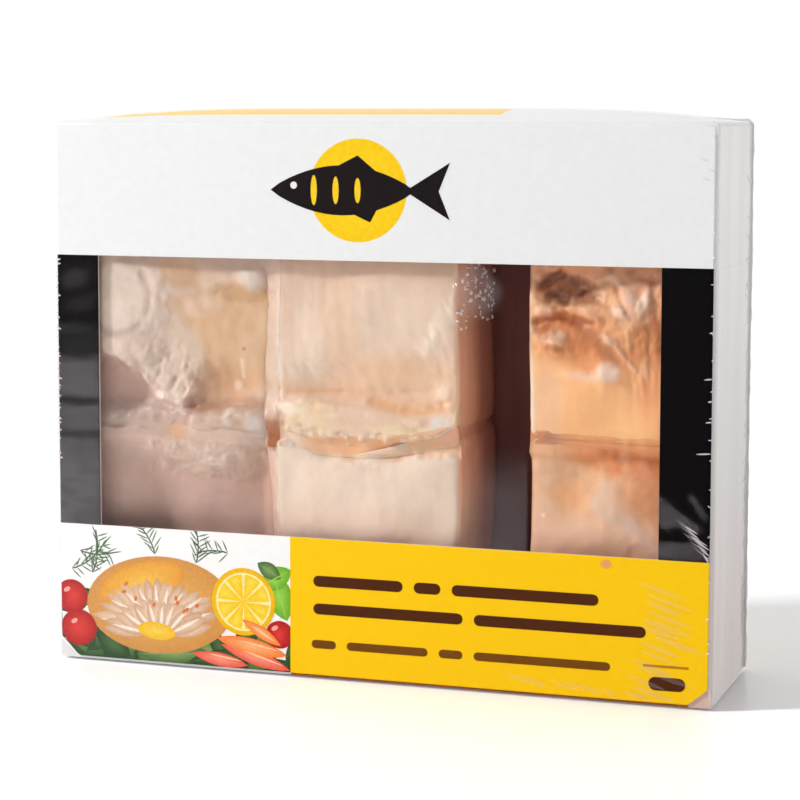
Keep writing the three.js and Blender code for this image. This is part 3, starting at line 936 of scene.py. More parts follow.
def model_upper_left(face):
    """Pale lobes over a torn, ragged layer, an amber middle, and a crumbly lower rim."""
    face.fill_out(face.under([(-101, 79), (-33, 80)], soft=5, ragged=0))
    face.fill_out(smooth((face.x + 40) / 6), 0.5)
    face.patch(face.oval(-46, 104, 22, 19, soft=12, ragged=3), 0.0, "amber", 0.95)
    face.patch(face.oval(-38, 106, 5, 12, soft=5, ragged=1.5), 0.2, "pale_amber", 0.7)
    face.patch(face.oval(-64, 123.6, 9, 4.4, soft=4, ragged=2), -0.2, "ochre", 0.65)
    face.patch(face.oval(-52, 122.6, 6, 3.4, soft=3, ragged=1.2), 0.3, "pink_cream", 0.65)
    face.patch(face.oval(-42, 118.0, 9, 2.8, -5, soft=2.4, ragged=1.2), -0.6, "ochre", 0.8)
    face.patch(face.oval(-56.4, 113.4, 6.6, 3.2, 10, soft=3, ragged=1), 0.35, "pink_cream", 0.75)
    face.patch(face.oval(-66.5, 112.5, 4.4, 6.5, 25, soft=3, ragged=1.5), -0.2, "ochre", 0.35)
    face.patch(face.oval(-70, 99, 14, 13, soft=5, ragged=2.4), 0.3, "cream_grey", 0.8)
    face.fibres(face.oval(-70, 93, 14, 11, soft=5), 18, 0.3, 1.5, 3, 0.05)
    face.fibres(face.oval(-82, 104, 12, 14, soft=5), 30, 0.2, 2.4, 4, 0.03)
    torn = [(-101, 98.5), (-92, 97.4), (-87, 96.4), (-82, 95.4), (-79.2, 93.6), (-77.6, 89.4), (-74.6, 86.4),
            (-72.6, 84.2), (-68, 82.2), (-63.4, 82), (-60.6, 86), (-58, 92), (-56, 99)]
    left_part = smooth((-57.5 - face.x) / 3)
    below = face.under(torn, soft=2.2, ragged=2.4) * left_part
    near = face.under([(x, z + 3) for x, z in torn], soft=3, ragged=1) * left_part - below
    face.patch(np.clip(near, 0, 1), 0.45, "cream_grey", 0.35)
    face.patch(below, -0.8, "mauve", 0.95)
    face.patch(face.oval(-86, 87, 8, 5, 15, soft=4), -0.1, "mauve_dark", 0.25)
    face.rise += 1.3 * smooth((-78 - face.x) / 12)
    # Grooves between the torn fingers: sunk, with painted shade.
    for groove, sink in (([(-70.6, 96.5), (-71.6, 92), (-74.2, 88.5)], 0.6),
                         ([(-60.6, 97), (-62.2, 93)], 0.4),
                         ([(-77.6, 97), (-79, 93.6)], 0.4),
                         ([(-65.4, 91), (-67, 88)], 0.35)):
        face.patch(face.band(groove, 0.9, soft=1.8, ragged=0.9), -sink, "fold", 0.5)
    for tuft, strength in (([(-75, 94), (-76.4, 90.6)], 0.3),
                           ([(-68.4, 90), (-70.6, 85.6)], 0.35),
                           ([(-62.6, 91), (-64.8, 86)], 0.35)):
        face.patch(face.band(tuft, 2.4, soft=2.6, ragged=1.5), 0.2, "cream_white", strength)
    face.crumble(face.band([(-78, 91), (-73.6, 86.6), (-68, 83.4), (-62, 84.4)], 3, 2.4, 1.2), 0.55)
    for x, z, reach_x, reach_z in ((-64.4, 83.2, 2.2, 1.3), (-72.0, 85.2, 1.4, 1.6), (-60.8, 88.4, 1.3, 2.2)):
        face.patch(face.oval(x, z, reach_x, reach_z, soft=1.2, ragged=0.8), 0.5, "white_flake", 0.75)
    face.patch(face.oval(-81, 117, 12, 11, soft=5, ragged=2.2), 0.35, "cream", 0.85)
    face.patch(face.oval(-84, 116, 8.6, 10.6, soft=3, ragged=1.4), 0.5, "cream", 0.5)
    face.patch(face.oval(-85.2, 110.4, 5.4, 5.2, soft=2.4, ragged=1.0), 0.4, "cream_white", 0.7)
    face.patch(face.oval(-80.4, 100.6, 10, 4.8, soft=2.6, ragged=1.4), 0.7, "cream_grey", 0.6)
    face.patch(face.oval(-86.4, 100.6, 3.2, 3.2, soft=2), 0.3, "cream_white", 0.6)
    face.crumble(face.band([(-88, 98.6), (-82, 97.4), (-78.4, 96)], 3.4, 2.4, 1.2), 0.4, "cream_white", 0.4)
    # A painted shadow along the lower edge of the pale lobe.
    face.patch(face.band([(-92, 105.6), (-86.4, 104.4), (-81, 105), (-77, 107.4)], 1.4, 2.8, 1.2),
               -0.4, "fold", 0.6)
    face.patch(face.band([(-75.6, 124), (-73.4, 117), (-74.6, 111)], 1.6, 3, 0.8), -0.3, "tan", 0.35)
    face.patch(face.band([(-91.4, 126), (-91, 116), (-91.6, 104), (-90.6, 99)], 1.4, 1.8, 0.7),
               -0.3, "tan", 0.6)
    # Sunk amber places in painted shade.
    face.patch(face.oval(-50.4, 88.4, 9.5, 7, 12, soft=6, ragged=1.8), -1.0, "hollow_shade", 0.7)
    face.patch(face.band([(-61, 82.4), (-55, 81.6), (-47, 83.2), (-40, 84), (-34, 83.4)], 3, 3.4, 1.2),
               -0.9, "hollow_shade", 0.9)
    face.patch(face.oval(-57.6, 83.2, 4.2, 2.4, soft=2.4, ragged=1), -0.3, "russet", 0.35)
    face.patch(face.band([(-43, 97), (-43.4, 92.4)], 0.9, soft=1.8, ragged=0.7), 0.15, "white_flake", 0.55)
    face.patch(face.oval(-45.6, 89, 1.4, 1.6, soft=2, ragged=1), 0.15, "cream_white", 0.6)
    face.patch(face.oval(-42.5, 100.9, 0.6, 0.5, soft=0.6, ragged=0), -0.1, "umber", 0.8)
    left_rim = face.band([(-92, 77.8), (-85, 79.2), (-77, 80.4), (-69, 78.6), (-60, 77.6)], 5.4, 3, 1.8)
    face.patch(left_rim, 0.5, "crumb_grey", 0.9)
    face.crumble(left_rim, 0.65)
    right_rim = face.band([(-58, 76.6), (-50, 78.6), (-44, 78.8), (-36, 78.6)], 6, 2.6, 1.6)
    face.patch(right_rim, 0.7, "pink_cream", 0.85)
    face.crumble(right_rim, 0.5, "white_flake", 0.4)
    face.patch(face.oval(-47.8, 81.2, 2, 1.1, soft=1.2), 0.5, "white_flake", 0.8)
    # The crevice above the lower loin: painted shade.
    face.patch(face.band([(-92, 75.4), (-84, 75.6), (-74, 74.8), (-62, 74.6)], 1.2, 1.6, 0.9),
               -0.5, "fold", 0.8)
    face.patch(face.oval(-64, 74.8, 3.6, 1.2, soft=1.4), -0.2, "ochre", 0.7)
    face.patch(face.oval(-38.6, 77.6, 3.4, 3.0, soft=2.4, ragged=1.8), 0.3, "ice", 0.75)
    face.patch(face.oval(-40, 122.2, 4.4, 3.0, -12, soft=2.4, ragged=1.8), 0.35, "ice", 0.6)
    face.patch(face.band([(-36, 126), (-34.6, 121.4), (-35.4, 118.6)], 1.4, 1.6, 0.6), -0.2, "russet", 0.5)
    lobes = face.oval(-82, 112, 16, 18, soft=5, ragged=2)
    face.mottle(lobes, "cream_grey", "cream_white", 3.2, 0.55, 0.35)
    ragged_layer = face.oval(-70, 92, 15, 10, soft=4, ragged=2) * (1 - below)
    face.mottle(ragged_layer, "fold", "cream_white", 2.0, 0.4, 0.5)
    face.mottle(below, "mauve", "mauve_pale", 2.2, 0.3, 0.15)
    face.tint(below, 1.08, 1.06, 1.06)
    face.mottle(face.oval(-48, 104, 18, 20, soft=8), "ochre", "pink_cream", 4.0, 0.3, 0.15)
    # Tan towards the top: painted shade from the window's upper edge.
    face.patch(smooth((face.z - 124.4) / 3), 0.0, "tan", 0.3)
    face.tint(np.ones(len(face.x)), 0.92, 0.93, 0.92)
    face.tint(face.oval(-81, 115, 14, 12, soft=6), 0.94, 0.96, 1.0)
    face.tint(face.oval(-48, 106, 18, 18, soft=8), 0.94, 0.96, 0.94)
    face.tint(face.under([(-101, 84), (-33, 84)], soft=4, ragged=1.5), 0.82, 0.82, 0.83)


def model_lower_left(face):
    """A smooth mauve face that leans back, its mauve partly painted shade, with frosty crumbs along its head;
    paler towards its foot and lower left as painted light, and darker at its foot on the right as painted
    shade.
    """
    face.fill_out(1 - face.under([(-101, 71), (-33, 71)], soft=5, ragged=0), 0.9)
    face.fill_out(smooth((face.x + 40) / 6), 0.5)
    face.rise += 1.5 * smooth((-72 - face.x) / 18) + 2.2 * (1 - smooth((face.z - 36) / 34))
    # Painted light on the foot and the lower left.
    face.patch(1 - smooth((face.z - 40) / 30), 0.0, "mauve_pale", 0.9)
    face.patch(smooth((-74 - face.x) / 24) * (1 - smooth((face.z - 50) / 26)), 0.0, "mauve_light", 0.8)
    face.patch(face.oval(-70, 68.5, 32, 4.6, soft=6, ragged=2), 0.4, "crumb_grey", 0.75)
    face.patch(face.oval(-54, 66, 15, 6, soft=6, ragged=2), 0.4, "cream_grey", 0.6)
    face.patch(face.oval(-94, 72, 9, 4, soft=5), 0.0, "mauve_dark", 0.35)
    head = [(-74, 70.6), (-62, 67.5), (-53, 65.4), (-46, 66.6), (-41, 70.4)]
    face.crumble(face.band(head, 4.6, 4, 2.2), 0.4)
    face.crumble(face.band([(-54, 65.4), (-53, 62.4)], 2.6, 2, 1.2), 0.5)
    # The crevice under the loin above: painted shade.
    face.patch(face.band([(-84, 73.6), (-76, 73.6), (-64, 73), (-56, 73)], 1.0, 1.4, 0.7), -0.4, "fold", 0.6)
    face.patch(face.oval(-36.4, 60, 5, 15, 6, soft=5, ragged=1), -0.2, "tan", 0.5)
    face.fibres(np.ones(len(face.x)), -55, 0.1, 2.6, 5, 0.02)
    face.mottle(face.oval(-58, 66, 24, 8, soft=6, ragged=2), "fold", "cream_white", 2.0, 0.35, 0.4)
    face.tint(np.ones(len(face.x)), 0.92, 0.9, 0.88)
    # Lighter at the foot as painted light, and darker at the foot to the right as painted shade.
    face.tint(1 - smooth((face.z - 44) / 16), 1.06, 1.06, 1.08)
    face.tint((1 - smooth((face.z - 42) / 18)) * smooth((face.x + 74) / 20), 0.93, 0.93, 0.93)


def model_upper_middle(face):
    """A broad smooth cut face in cream, a peach groove, and a thick torn rim of flakes."""
    face.fill_out(face.under([(-33, 79), (28, 80)], soft=5, ragged=0))
    face.fill_out(smooth((-26 - face.x) / 6), 0.5)
    face.patch(face.oval(8, 110, 19, 12, soft=10, ragged=2.4), 0.15, "cream", 0.5)
    face.patch(face.band([(-31.6, 121), (-32.0, 104), (-30.4, 88)], 3.4, 3, 0.8), 0.4, "lilac", 0.95)
    face.patch(face.oval(-22, 100, 6, 16, soft=7, ragged=1.5), 0.1, "cream", 0.6)
    face.patch(face.oval(-9.8, 108, 5, 13, 6, soft=8, ragged=2), -0.15, "peach", 0.4)
    face.patch(face.oval(8, 94, 18, 6, soft=7, ragged=2), -0.2, "peach", 0.75)
    # Tan towards the top: painted shade from the window's upper edge.
    face.patch(smooth((face.z - 121) / 5), 0.0, "tan", 0.35)
    face.patch(face.oval(-21, 124.6, 9, 2, soft=2.4), 0.0, "pink_cream", 0.3)
    streak = face.band([(24.6, 117), (21, 110), (17, 103.6)], 3.6, 5, 2.2)
    face.patch(streak, 0.2, "white_flake", 0.6)
    face.fibres(streak, -30, 0.3, 1.2, 3, 0.08)
    face.fibres(face.oval(22, 98, 6, 14, soft=5), -20, 0.18, 1.6, 3, 0.05)
    # Tan where the right edge turns away: painted shade.
    edge_painted_shade = face.band([(26.6, 126), (26.4, 96)], 2.0, 2, 0.8)
    face.patch(edge_painted_shade, 0.0, "tan", 0.5)
    frosty = face.band([(26.4, 128), (26.4, 120), (26, 112)], 2.6, 2.6, 1.4)
    face.patch(frosty, 0.25, "ice", 0.5)
    face.frost = np.maximum(face.frost, 0.9 * frosty * smooth((face.x - 24.4) / 1.6))
    # The groove is sunk, its deeper peach painted shade.
    groove = [(-31, 89), (-21, 88.6), (-9, 88.4), (3, 86.6), (14, 85), (24, 86.8)]
    face.patch(face.band(groove, 5, 6, 1.0), -0.9, "peach_deep", 0.55)
    face.patch(face.band([(-28, 88.2), (-20, 88.2), (-10, 88.4)], 0.8, 1.6, 0.5), -0.4, "peach_deep", 0.5)
    face.patch(face.band([(0, 86), (8, 84.2), (16, 83.6), (22, 85.4)], 2.6, 3, 0.8), -0.5, "peach_deep", 0.9)
    rim_high = [(-34, 84.6), (-30, 84.4), (-22.5, 86.6), (-9, 84.4), (2.8, 82), (12.4, 80.6), (24.4, 83.8)]
    rim_low = [(-29, 75.8), (-22, 74.4), (-18, 73.6), (-10, 74.8), (-1.4, 74.4), (8.7, 74.2), (19.7, 75.4),
               (25.5, 79)]
    rim = face.under(rim_high, 2.2, 1.1) * (1 - face.under(rim_low, 1.4, 1.3))
    face.patch(rim, 1.0, "pink_cream", 0.75)
    face.rise += 0.5 * rim * face.noise(5, 0.6, layers=2)
    face.patch(rim * face.oval(-22, 81, 10, 5, soft=5), 0.2, "yellow_cream", 0.7)
    face.patch(rim * face.oval(12, 77.4, 11, 2.4, -3, soft=2.4, ragged=1), 0.6, "yellow_cream", 0.9)
    below_lip = face.under([(x, z + 2) for x, z in rim_low], 2, 1.2)
    lower_lip = np.clip(below_lip - face.under(rim_low, 1.4, 1.2), 0, 1)
    face.crumble(lower_lip, 0.8, "cream_white", 0.5)
    # A painted shadow under the rim: sunk and peach.
    face.patch(face.under(rim_low, 1.6, 1.2), -1.3, "peach", 0.9)
    face.crumble(rim * face.oval(-26, 81, 6, 6, soft=3), 0.45, "white_flake", 0.5)
    face.crumble(rim * face.oval(18, 79, 9, 4, soft=3), 0.6, "white_flake", 0.5)
    face.fibres(rim, 80, 0.3, 1.4, 4, 0.04)
    face.patch(face.oval(-27.6, 83.4, 3.6, 1.8, -8, soft=1.4, ragged=0.7), 0.5, "white_flake", 0.8)
    face.patch(face.oval(21.4, 79.8, 3.0, 3.0, 30, soft=1.8), 0.4, "ice", 0.85)
    face.patch(face.oval(22.2, 89.8, 2.2, 2.2, soft=1.6), 0.35, "cream", 0.6)
    face.patch(face.oval(-30.6, 79, 2.2, 3.6, soft=1.8, ragged=0.8), -1.2, "russet", 0.7)
    for x, z, long in ((-3.4, 72.6, 2.6), (-8.4, 73.6, 1.6), (4.6, 73.6, 1.5), (12.6, 73.4, 1.3),
                       (-14.6, 73.2, 1.3)):
        face.patch(face.oval(x, z, 1.5, long, soft=1.2, ragged=0.9), 1.3, "pink_cream", 0.7)
    face.mottle(rim, "peach_deep", "white_flake", 2.2, 0.4, 0.45)
    face.mottle(1 - face.under([(x, z + 1) for x, z in rim_high], 3, 1), "pink_cream", "cream", 5.0, 0.3, 0.1)
    face.tint(np.ones(len(face.x)), 0.93, 0.96, 0.94)
    # Painted shade on the right flank, deepening into the box.
    face.flank([(-25, "flank_edge"), (-22, "flank"), (-12, "flank"), (-3, "flank_mid"), (6, "flank_mid"),
                (16, "flank_deep")])
    # Lightens the flank's painted shade.
    face.tint(smooth((face.normals[:, 0] - 0.35) / 0.4), 1.12, 1.14, 1.12)
    sparkle = face.side_oval(-20, 119, 7, 10, soft=5, ragged=3)
    face.frost = np.maximum(face.frost, 0.8 * sparkle)
    face.patch(face.side_oval(-22, 119, 5, 9, soft=4, ragged=2.5), 0.0, "pink_cream", 0.4)


def model_lower_middle(face):
    """A pale cut face with soft edges, with painted shadow under the rim above."""
    face.fill_out(1 - face.under([(-33, 70), (28, 70)], soft=5, ragged=0), 0.8)
    face.fill_out(smooth((-26 - face.x) / 6), 0.5)
    face.patch(face.oval(8, 62, 18, 9, soft=8, ragged=2), 0.15, "cream_white", 0.5)
    face.patch(face.oval(-27, 59, 6, 13, soft=5), 0.15, "cream_white", 0.6)
    face.patch(face.oval(-2, 46, 32, 6, soft=8), 0.0, "pink_cream", 0.6)
    top_edge = [(-34, 71), (-29, 74.4), (-22.6, 71.4), (-15.4, 68.2), (-5.6, 67.6), (6.8, 68.6),
                (15.5, 70.4), (27, 70)]
    # Painted shadow under the rim of the loin above: sunk and peach.
    above = 1 - face.under(top_edge, 2.4, 1.4)
    face.patch(above, -1.0, "peach", 0.9)
    face.crumble(face.band(top_edge[3:], 2.2, 2, 1.2), 0.35, "cream_white", 0.4)
    face.patch(face.oval(-28.8, 73, 3, 1.8, soft=1.4), 0.5, "cream_white", 0.7)
    face.patch(face.oval(-3.4, 71, 1.6, 2.0, soft=1.2, ragged=0.7), 1.0, "pink_cream", 0.7)
    # Tan along the right edge: painted shade where it turns away.
    face.patch(face.band([(26.4, 74), (26.2, 44)], 1.6, 2.4), 0.0, "tan", 0.5)
    face.fibres(np.ones(len(face.x)), 84, 0.08, 2.6, 5, 0.015)
    face.mottle(face.under([(-34, 68), (27, 68)], 6, 2), "pink_cream", "cream_white", 4.6, 0.3, 0.1)
    face.tint(np.ones(len(face.x)), 0.96, 0.98, 0.98)
    # Painted shade on the right flank, deepening into the box.
    face.flank([(-25, "flank_edge"), (-22, "flank"), (-10, "flank"), (-1, "flank_mid"), (8, "flank_mid"),
                (16, "flank_deep")])
    # Lightens the flank's painted shade low down.
    face.tint(smooth((face.normals[:, 0] - 0.35) / 0.4) * (1 - smooth((face.z - 48) / 24)), 1.42, 1.44, 1.46)


def model_upper_right(face):
    """Brown crevices and pale lumps over a smooth peach face."""
    face.fill_out(face.under([(47, 80), (104, 80)], soft=3, ragged=0), 0.9)
    upper = smooth((face.z - 97) / 12)
    face.patch(upper, 0.0, "peach", 0.6)
    # Russet towards the top: partly the flesh's own tone, partly painted shade from the window's upper edge.
    face.patch(smooth((face.z - 118) / 7), -0.2, "russet", 0.6)
    face.patch(face.oval(66, 105, 14, 7, -25, soft=5, ragged=2.4), -0.4, "orange", 0.8)
    face.patch(face.oval(69, 118, 11, 6, soft=5, ragged=2.4), 0.1, "ochre", 0.5)
    face.fibres(upper, 62, 0.5, 2.4, 3.2, 0.10)
    face.fibres(upper, 20, 0.3, 1.3, 2.0, 0.06)
    face.patch(face.oval(54, 88, 5, 10, soft=5), 0.0, "pink_cream", 0.35)
    face.patch(face.band([(47.6, 120), (48.4, 100), (49.4, 80)], 1.6, 2, 0.6), 0.3, "lilac", 0.7)
    face.patch(face.oval(84, 103, 5, 15, 4, soft=4, ragged=2), 0.0, "orange", 0.6)
    face.fibres(face.oval(83, 106, 6, 16, soft=4), -8, 0.4, 1.2, 5, 0.10)
    face.patch(face.oval(60, 121.6, 10, 4.6, -12, soft=3, ragged=2), -0.9, "brown", 0.8)
    face.patch(face.band([(51.6, 122.4), (54.6, 124.6), (57, 126)], 2.2, 1.8, 1.0), -0.8, "dark_brown", 0.75)
    face.patch(face.band([(55, 119.8), (59, 118.4), (64, 120.8)], 2.0, 1.8, 1.0), -0.8, "dark_brown", 0.65)
    face.patch(face.band([(62, 124.6), (68, 122.6), (72, 124)], 1.4, 2, 1.0), -0.5, "brown", 0.6)
    face.patch(face.oval(53, 114.8, 2.8, 1.9, soft=1.4, ragged=0.8), 0.7, "pink_cream", 0.75)
    face.patch(face.band([(50.6, 112), (57, 113.6), (63, 112), (67, 112)], 2.6, 2.2, 1.0), -1.0, "rust", 0.9)
    face.patch(face.band([(51, 109.4), (55, 109.8), (60, 107.4)], 2.0, 2, 1.0), -0.5, "rust", 0.5)
    face.patch(face.oval(67.5, 115.2, 6.4, 2.2, -6, soft=1.8, ragged=1.1), 0.6, "peach", 0.7)
    face.patch(face.oval(56.4, 106.9, 3.4, 2.2, -10, soft=2, ragged=1.8), 0.5, "white_flake", 0.75)
    face.patch(face.oval(57.4, 104.0, 3.2, 1.0, -8, soft=1.2), -0.4, "umber", 0.35)
    face.patch(face.band([(63, 112), (69, 106.4), (75, 101)], 3.0, 3, 1.2), -0.6, "russet", 0.6)
    face.patch(face.band([(72, 107.4), (76, 103.4), (80.4, 98.5)], 1.2, 1.6, 0.7), 0.5, "pink_cream", 0.65)
    face.patch(face.oval(72.6, 107.2, 2.6, 1.4, -24, soft=1.2, ragged=0.7), 0.6, "lilac", 0.7)
    face.patch(face.oval(80, 117.4, 7.4, 5.4, 62, soft=2.6, ragged=1.6), 0.6, "pink_cream", 0.7)
    face.patch(face.band([(72.6, 126), (77.6, 121.4), (80, 117)], 2.4, 2, 1.0), 0.5, "cream_grey", 0.6)
    face.mottle(smooth((face.z - 98) / 7), "orange", "peach", 3.4, 0.45, 0.3)
    face.mottle(face.oval(57, 122, 10, 5.6, soft=4), "dark_brown", "tan", 3.0, 0.5, 0.35)
    face.patch(face.oval(76.2, 115.2, 2.2, 1.5, -10, soft=1.2, ragged=0.6), 0.6, "white_flake", 0.8)
    face.patch(face.oval(82.8, 118.6, 1.5, 3.4, -20, soft=1.2, ragged=0.6), 0.5, "white_flake", 0.7)
    face.patch(face.band([(73.6, 123.6), (75.6, 119), (79, 113)], 0.8, 1.4, 0.7), -0.6, "rust", 0.55)
    face.patch(face.band([(84.8, 126), (85.6, 119), (83.6, 111)], 1.2, 2, 1.2), -0.4, "umber", 0.3)
    face.patch(face.band([(78, 127), (84, 124.6), (89, 125)], 2.6, 2.4, 1.0), -0.3, "russet", 0.6)
    face.patch(face.oval(72, 97.2, 3.2, 2.6, soft=2.6, ragged=1.8), 0.35, "cream_white", 0.8)
    face.patch(face.oval(65.6, 96, 5.6, 1.5, -3, soft=2.2, ragged=0.8), 0.3, "pink_cream", 0.6)
    face.patch(face.oval(83.4, 98.8, 1.2, 2.6, soft=1.4), 0.3, "peach", 0.8)
    face.patch(face.band([(48, 78.0), (53, 77.4), (58, 77.8)], 1.0, 1.8, 0.7), -0.6, "umber", 0.6)
    face.patch(face.band([(62, 77.2), (76, 76.6), (90, 75.4)], 1.6, 2.4, 0.6), -0.4, "orange", 0.7)
    face.tint(smooth((face.z - 97) / 8) * (1 - smooth((face.z - 112) / 8)), 0.85, 0.72, 0.6)
    face.tint(smooth((52 - face.x) / 3), 1.06, 1.16, 1.22)
    face.tint(smooth((face.z - 112) / 8), 1.04, 0.94, 0.86)
    # Painted shade on the right flank.
    face.flank([(-24, "russet"), (-14, "brown")])


def model_lower_right(face):
    """A peach face, darker under the seam, with a pale band painted for the film's highlight."""
    face.fill_out(1 - face.under([(47, 72), (104, 72)], soft=3, ragged=0), 0.9)
    face.patch(face.oval(80, 71.5, 20, 5.4, -7, soft=4, ragged=1.2), -0.6, "orange", 0.95)
    face.patch(face.band([(72, 73.6), (90, 70.6)], 3.4, 3, 1.0), -0.3, "rust", 0.7)
    face.patch(face.oval(52, 71, 5, 4, soft=3), 0.2, "peach", 0.6)
    face.patch(face.oval(52.6, 58, 4.5, 13, soft=5), 0.1, "pink_cream", 0.6)
    face.patch(face.oval(60.6, 60, 5.6, 3.4, -8, soft=4, ragged=2), -0.3, "peach_deep", 0.8)
    # A pale band painted for the film's highlight over the loin.
    painted_film_highlight = [(66.5, 60.3), (71.6, 65.8), (76.4, 63.7), (78, 58.6), (82.4, 53.2), (90, 43.6),
             (84.8, 43.6), (80, 48.6), (73.5, 53.4), (68, 56.2)]
    face.patch(face.patch_of(painted_film_highlight, 3.4, 1.8), 0.15, "cream_grey", 0.7)
    face.patch(face.oval(84, 62, 9, 8, soft=6, ragged=1.5), 0.0, "orange", 0.4)
    face.patch(face.oval(64, 46, 18, 7, soft=6, ragged=1.5), 0.1, "pink_cream", 0.6)
    face.patch(face.patch_of([(79, 60), (84, 56), (91, 46), (91, 62), (84, 66)], 2, 0.8),
               -0.1, "orange", 0.35)
    face.patch(face.oval(52.9, 54, 0.7, 0.6, soft=0.8, ragged=0), 0.2, "white_flake", 0.8)
    face.fibres(np.ones(len(face.x)), 50, 0.1, 2.6, 5, 0.03)
    face.mottle(np.ones(len(face.x)), "peach_deep", "pink_cream", 3.6, 0.3, 0.12)
    face.tint(smooth((face.z - 48) / 14), 0.95, 0.87, 0.77)
    face.tint(1 - smooth((face.z - 44) / 14), 1.06, 0.97, 0.92)
    # Painted shade on the right flank.
    face.flank([(-24, "russet"), (-14, "brown")])


# Each loin: its base tone, how its front is modelled, and a seed.
LOINS = {
    "loin_upper_left": ("cream_grey", model_upper_left, 11),
    "loin_lower_left": ("mauve", model_lower_left, 23),
    "loin_upper_middle": ("pink_cream", model_upper_middle, 31),
    "loin_lower_middle": ("cream", model_lower_middle, 41),
    "loin_upper_right": ("warm_peach", model_upper_right, 53),
    "loin_lower_right": ("pale_amber", model_lower_right, 61),
}


def fine_form(node):
    """A loin's solid meshed fine and even: in voxels, drawn back onto the solid, and eased."""
    solid = bpy.data.objects.new("solid", merged_copy(node))
    piece = bpy.data.objects.new("cod_" + node, merged_copy(node))
    for each in (solid, piece):
        bpy.context.scene.collection.objects.link(each)
    remesh = piece.modifiers.new("fine", "REMESH")
    remesh.mode = "VOXEL"
    remesh.voxel_size = VOXEL * MM
    cling = piece.modifiers.new("cling", "SHRINKWRAP")
    cling.target = solid
    ease = piece.modifiers.new("ease", "SMOOTH")
    ease.iterations = 6
    ease.factor = 0.5
    plain_mesh(piece)
    bpy.data.objects.remove(solid)
    return piece


def make_loin(node, base, model_front, seed):
    """One frozen loin: its fine form, its front modelled, and its tones painted."""
    piece = fine_form(node)
    mesh = piece.data
    points = read_vectors(mesh.vertices, "co") / MM
    normals = read_vectors(mesh.vertices, "normal")
    face = LoinFace(points, normals, base, seed)
    model_front(face)
    facing = smooth(-normals[:, 1] * 1.8)
    slow = 0.14 * layered_noise(points, 12.0, seed) + 0.04 * layered_noise(points, 3.0, seed + 9, 2)
    points = points + normals * (slow + SWELL * (1 - facing))[:, None]
    points[:, 1] -= face.rise * facing + face.fill * smooth(-normals[:, 1] * 5)
    proud = np.maximum(0, FRONT_LIMIT + PRESS_START - points[:, 1])
    points[:, 1] += proud - PRESS_DEPTH * np.tanh(proud / PRESS_DEPTH)
    mesh.vertices.foreach_set("co", (points * MM).ravel())
    # Faces turned to the left, into the gaps between loins, are darkened: painted shade.
    face.tone *= (1 - 0.3 * smooth(-normals[:, 0] * 2 - 0.5))[:, None]
    patchy = 1 + 0.035 * layered_noise(points, 11.0, seed + 3) + 0.03 * layered_noise(points, 2.2, seed + 4)
    tone = np.clip(face.tone * patchy[:, None] * TONE_GAIN, 0, PALEST)
    paint(mesh, "flesh", np.hstack([tone, np.ones((len(points), 1))]))
    layer = mesh.attributes.new("frost", "FLOAT", "POINT")
    layer.data.foreach_set("value", face.frost)
    mesh.materials.clear()
    mesh.materials.append(FLESH)
    mesh.polygons.foreach_set("use_smooth", [True] * len(mesh.polygons))
    mesh.update()
    place_piece(piece, "fish", node)
    return piece


# ---- Film ----

FILM_STEP = 1.12
FILM_OFFSET = 0.34
FILM_REACH = 0.15


def paint_film_reflections(film, front):
    """The film's painted reflections, laid on as milky white: over the left band, at the lower right and over
    the dark gap, with a pale highlight band over the lower right loin.
    """
    z, left = front.z, smooth((WINDOW_LEFT + 1 - front.x) / 2)
    uneven = 1.4 * front.noise(9, layers=2) + 0.6 * front.noise(3, layers=1)
    left = left * smooth((z - WINDOW_LOW) / 1.2 + 0.5)
    low = smooth((99 + uneven - z) / 4)
    bands = (smooth(1 - np.abs(z - 83 - uneven * 0.5) / 2.6)
             + 0.8 * smooth(1 - np.abs(z - 72.8 - uneven * 0.6) / 2.6))
    shade = 0.36 * low * (1 - np.clip(bands, 0, 1)) + 0.09 * smooth((68 - z) / 8)
    shade += 0.13 * front.oval(-97.6, 122, 5, 3, 20, soft=3, ragged=1.8)
    shade += 0.06 * front.oval(-96, 114, 5, 2.2, 20, soft=2, ragged=1.4)
    haze = left * shade
    # Painted reflections at the lower right: a facet, a foot and a streak.
    facet = front.patch_of([(88.6, 63), (91, 61.4), (96, 57.6), (102, 53.6), (99, 51.5), (95, 54), (91, 52.8),
                            (88.6, 54.6)], 0.8, 0.3)
    foot = front.patch_of([(88.6, 49), (95, 49.4), (103.4, 49.6), (103.6, 44.4), (88.6, 44)], 0.8, 0.4)
    streak = front.band([(98.6, 62.6), (102.4, 57.4)], 1.6, 1.2, 0.4)
    haze = haze + 0.32 * facet + 0.34 * foot + 0.3 * streak
    # A painted reflection over the dark gap.
    between = (front.x < 49) * (z > WINDOW_LOW - 0.5)
    haze += 0.34 * between * front.patch_of([(36, 64), (54, 68), (54, 38), (26, 38), (30, 48)], 24, 2)
    haze += 0.4 * between * front.oval(33, 121, 7, 7, soft=5, ragged=2.4)
    # A pale band painted for the film's highlight over the lower right loin.
    painted_highlight_band = front.patch_of([(67, 60), (71.6, 65.2), (76.4, 63.4), (81.9, 53.9), (88.6, 44), (84.8, 44),
                           (80, 49), (73, 54)], 1.6, 0.5)
    haze += 0.12 * painted_highlight_band * (front.x < 89)
    facing = smooth(-front.normals[:, 1] * 3)
    layer = film.data.attributes.new("haze", "FLOAT", "POINT")
    layer.data.foreach_set("value", np.clip(haze * facing, 0, 1))


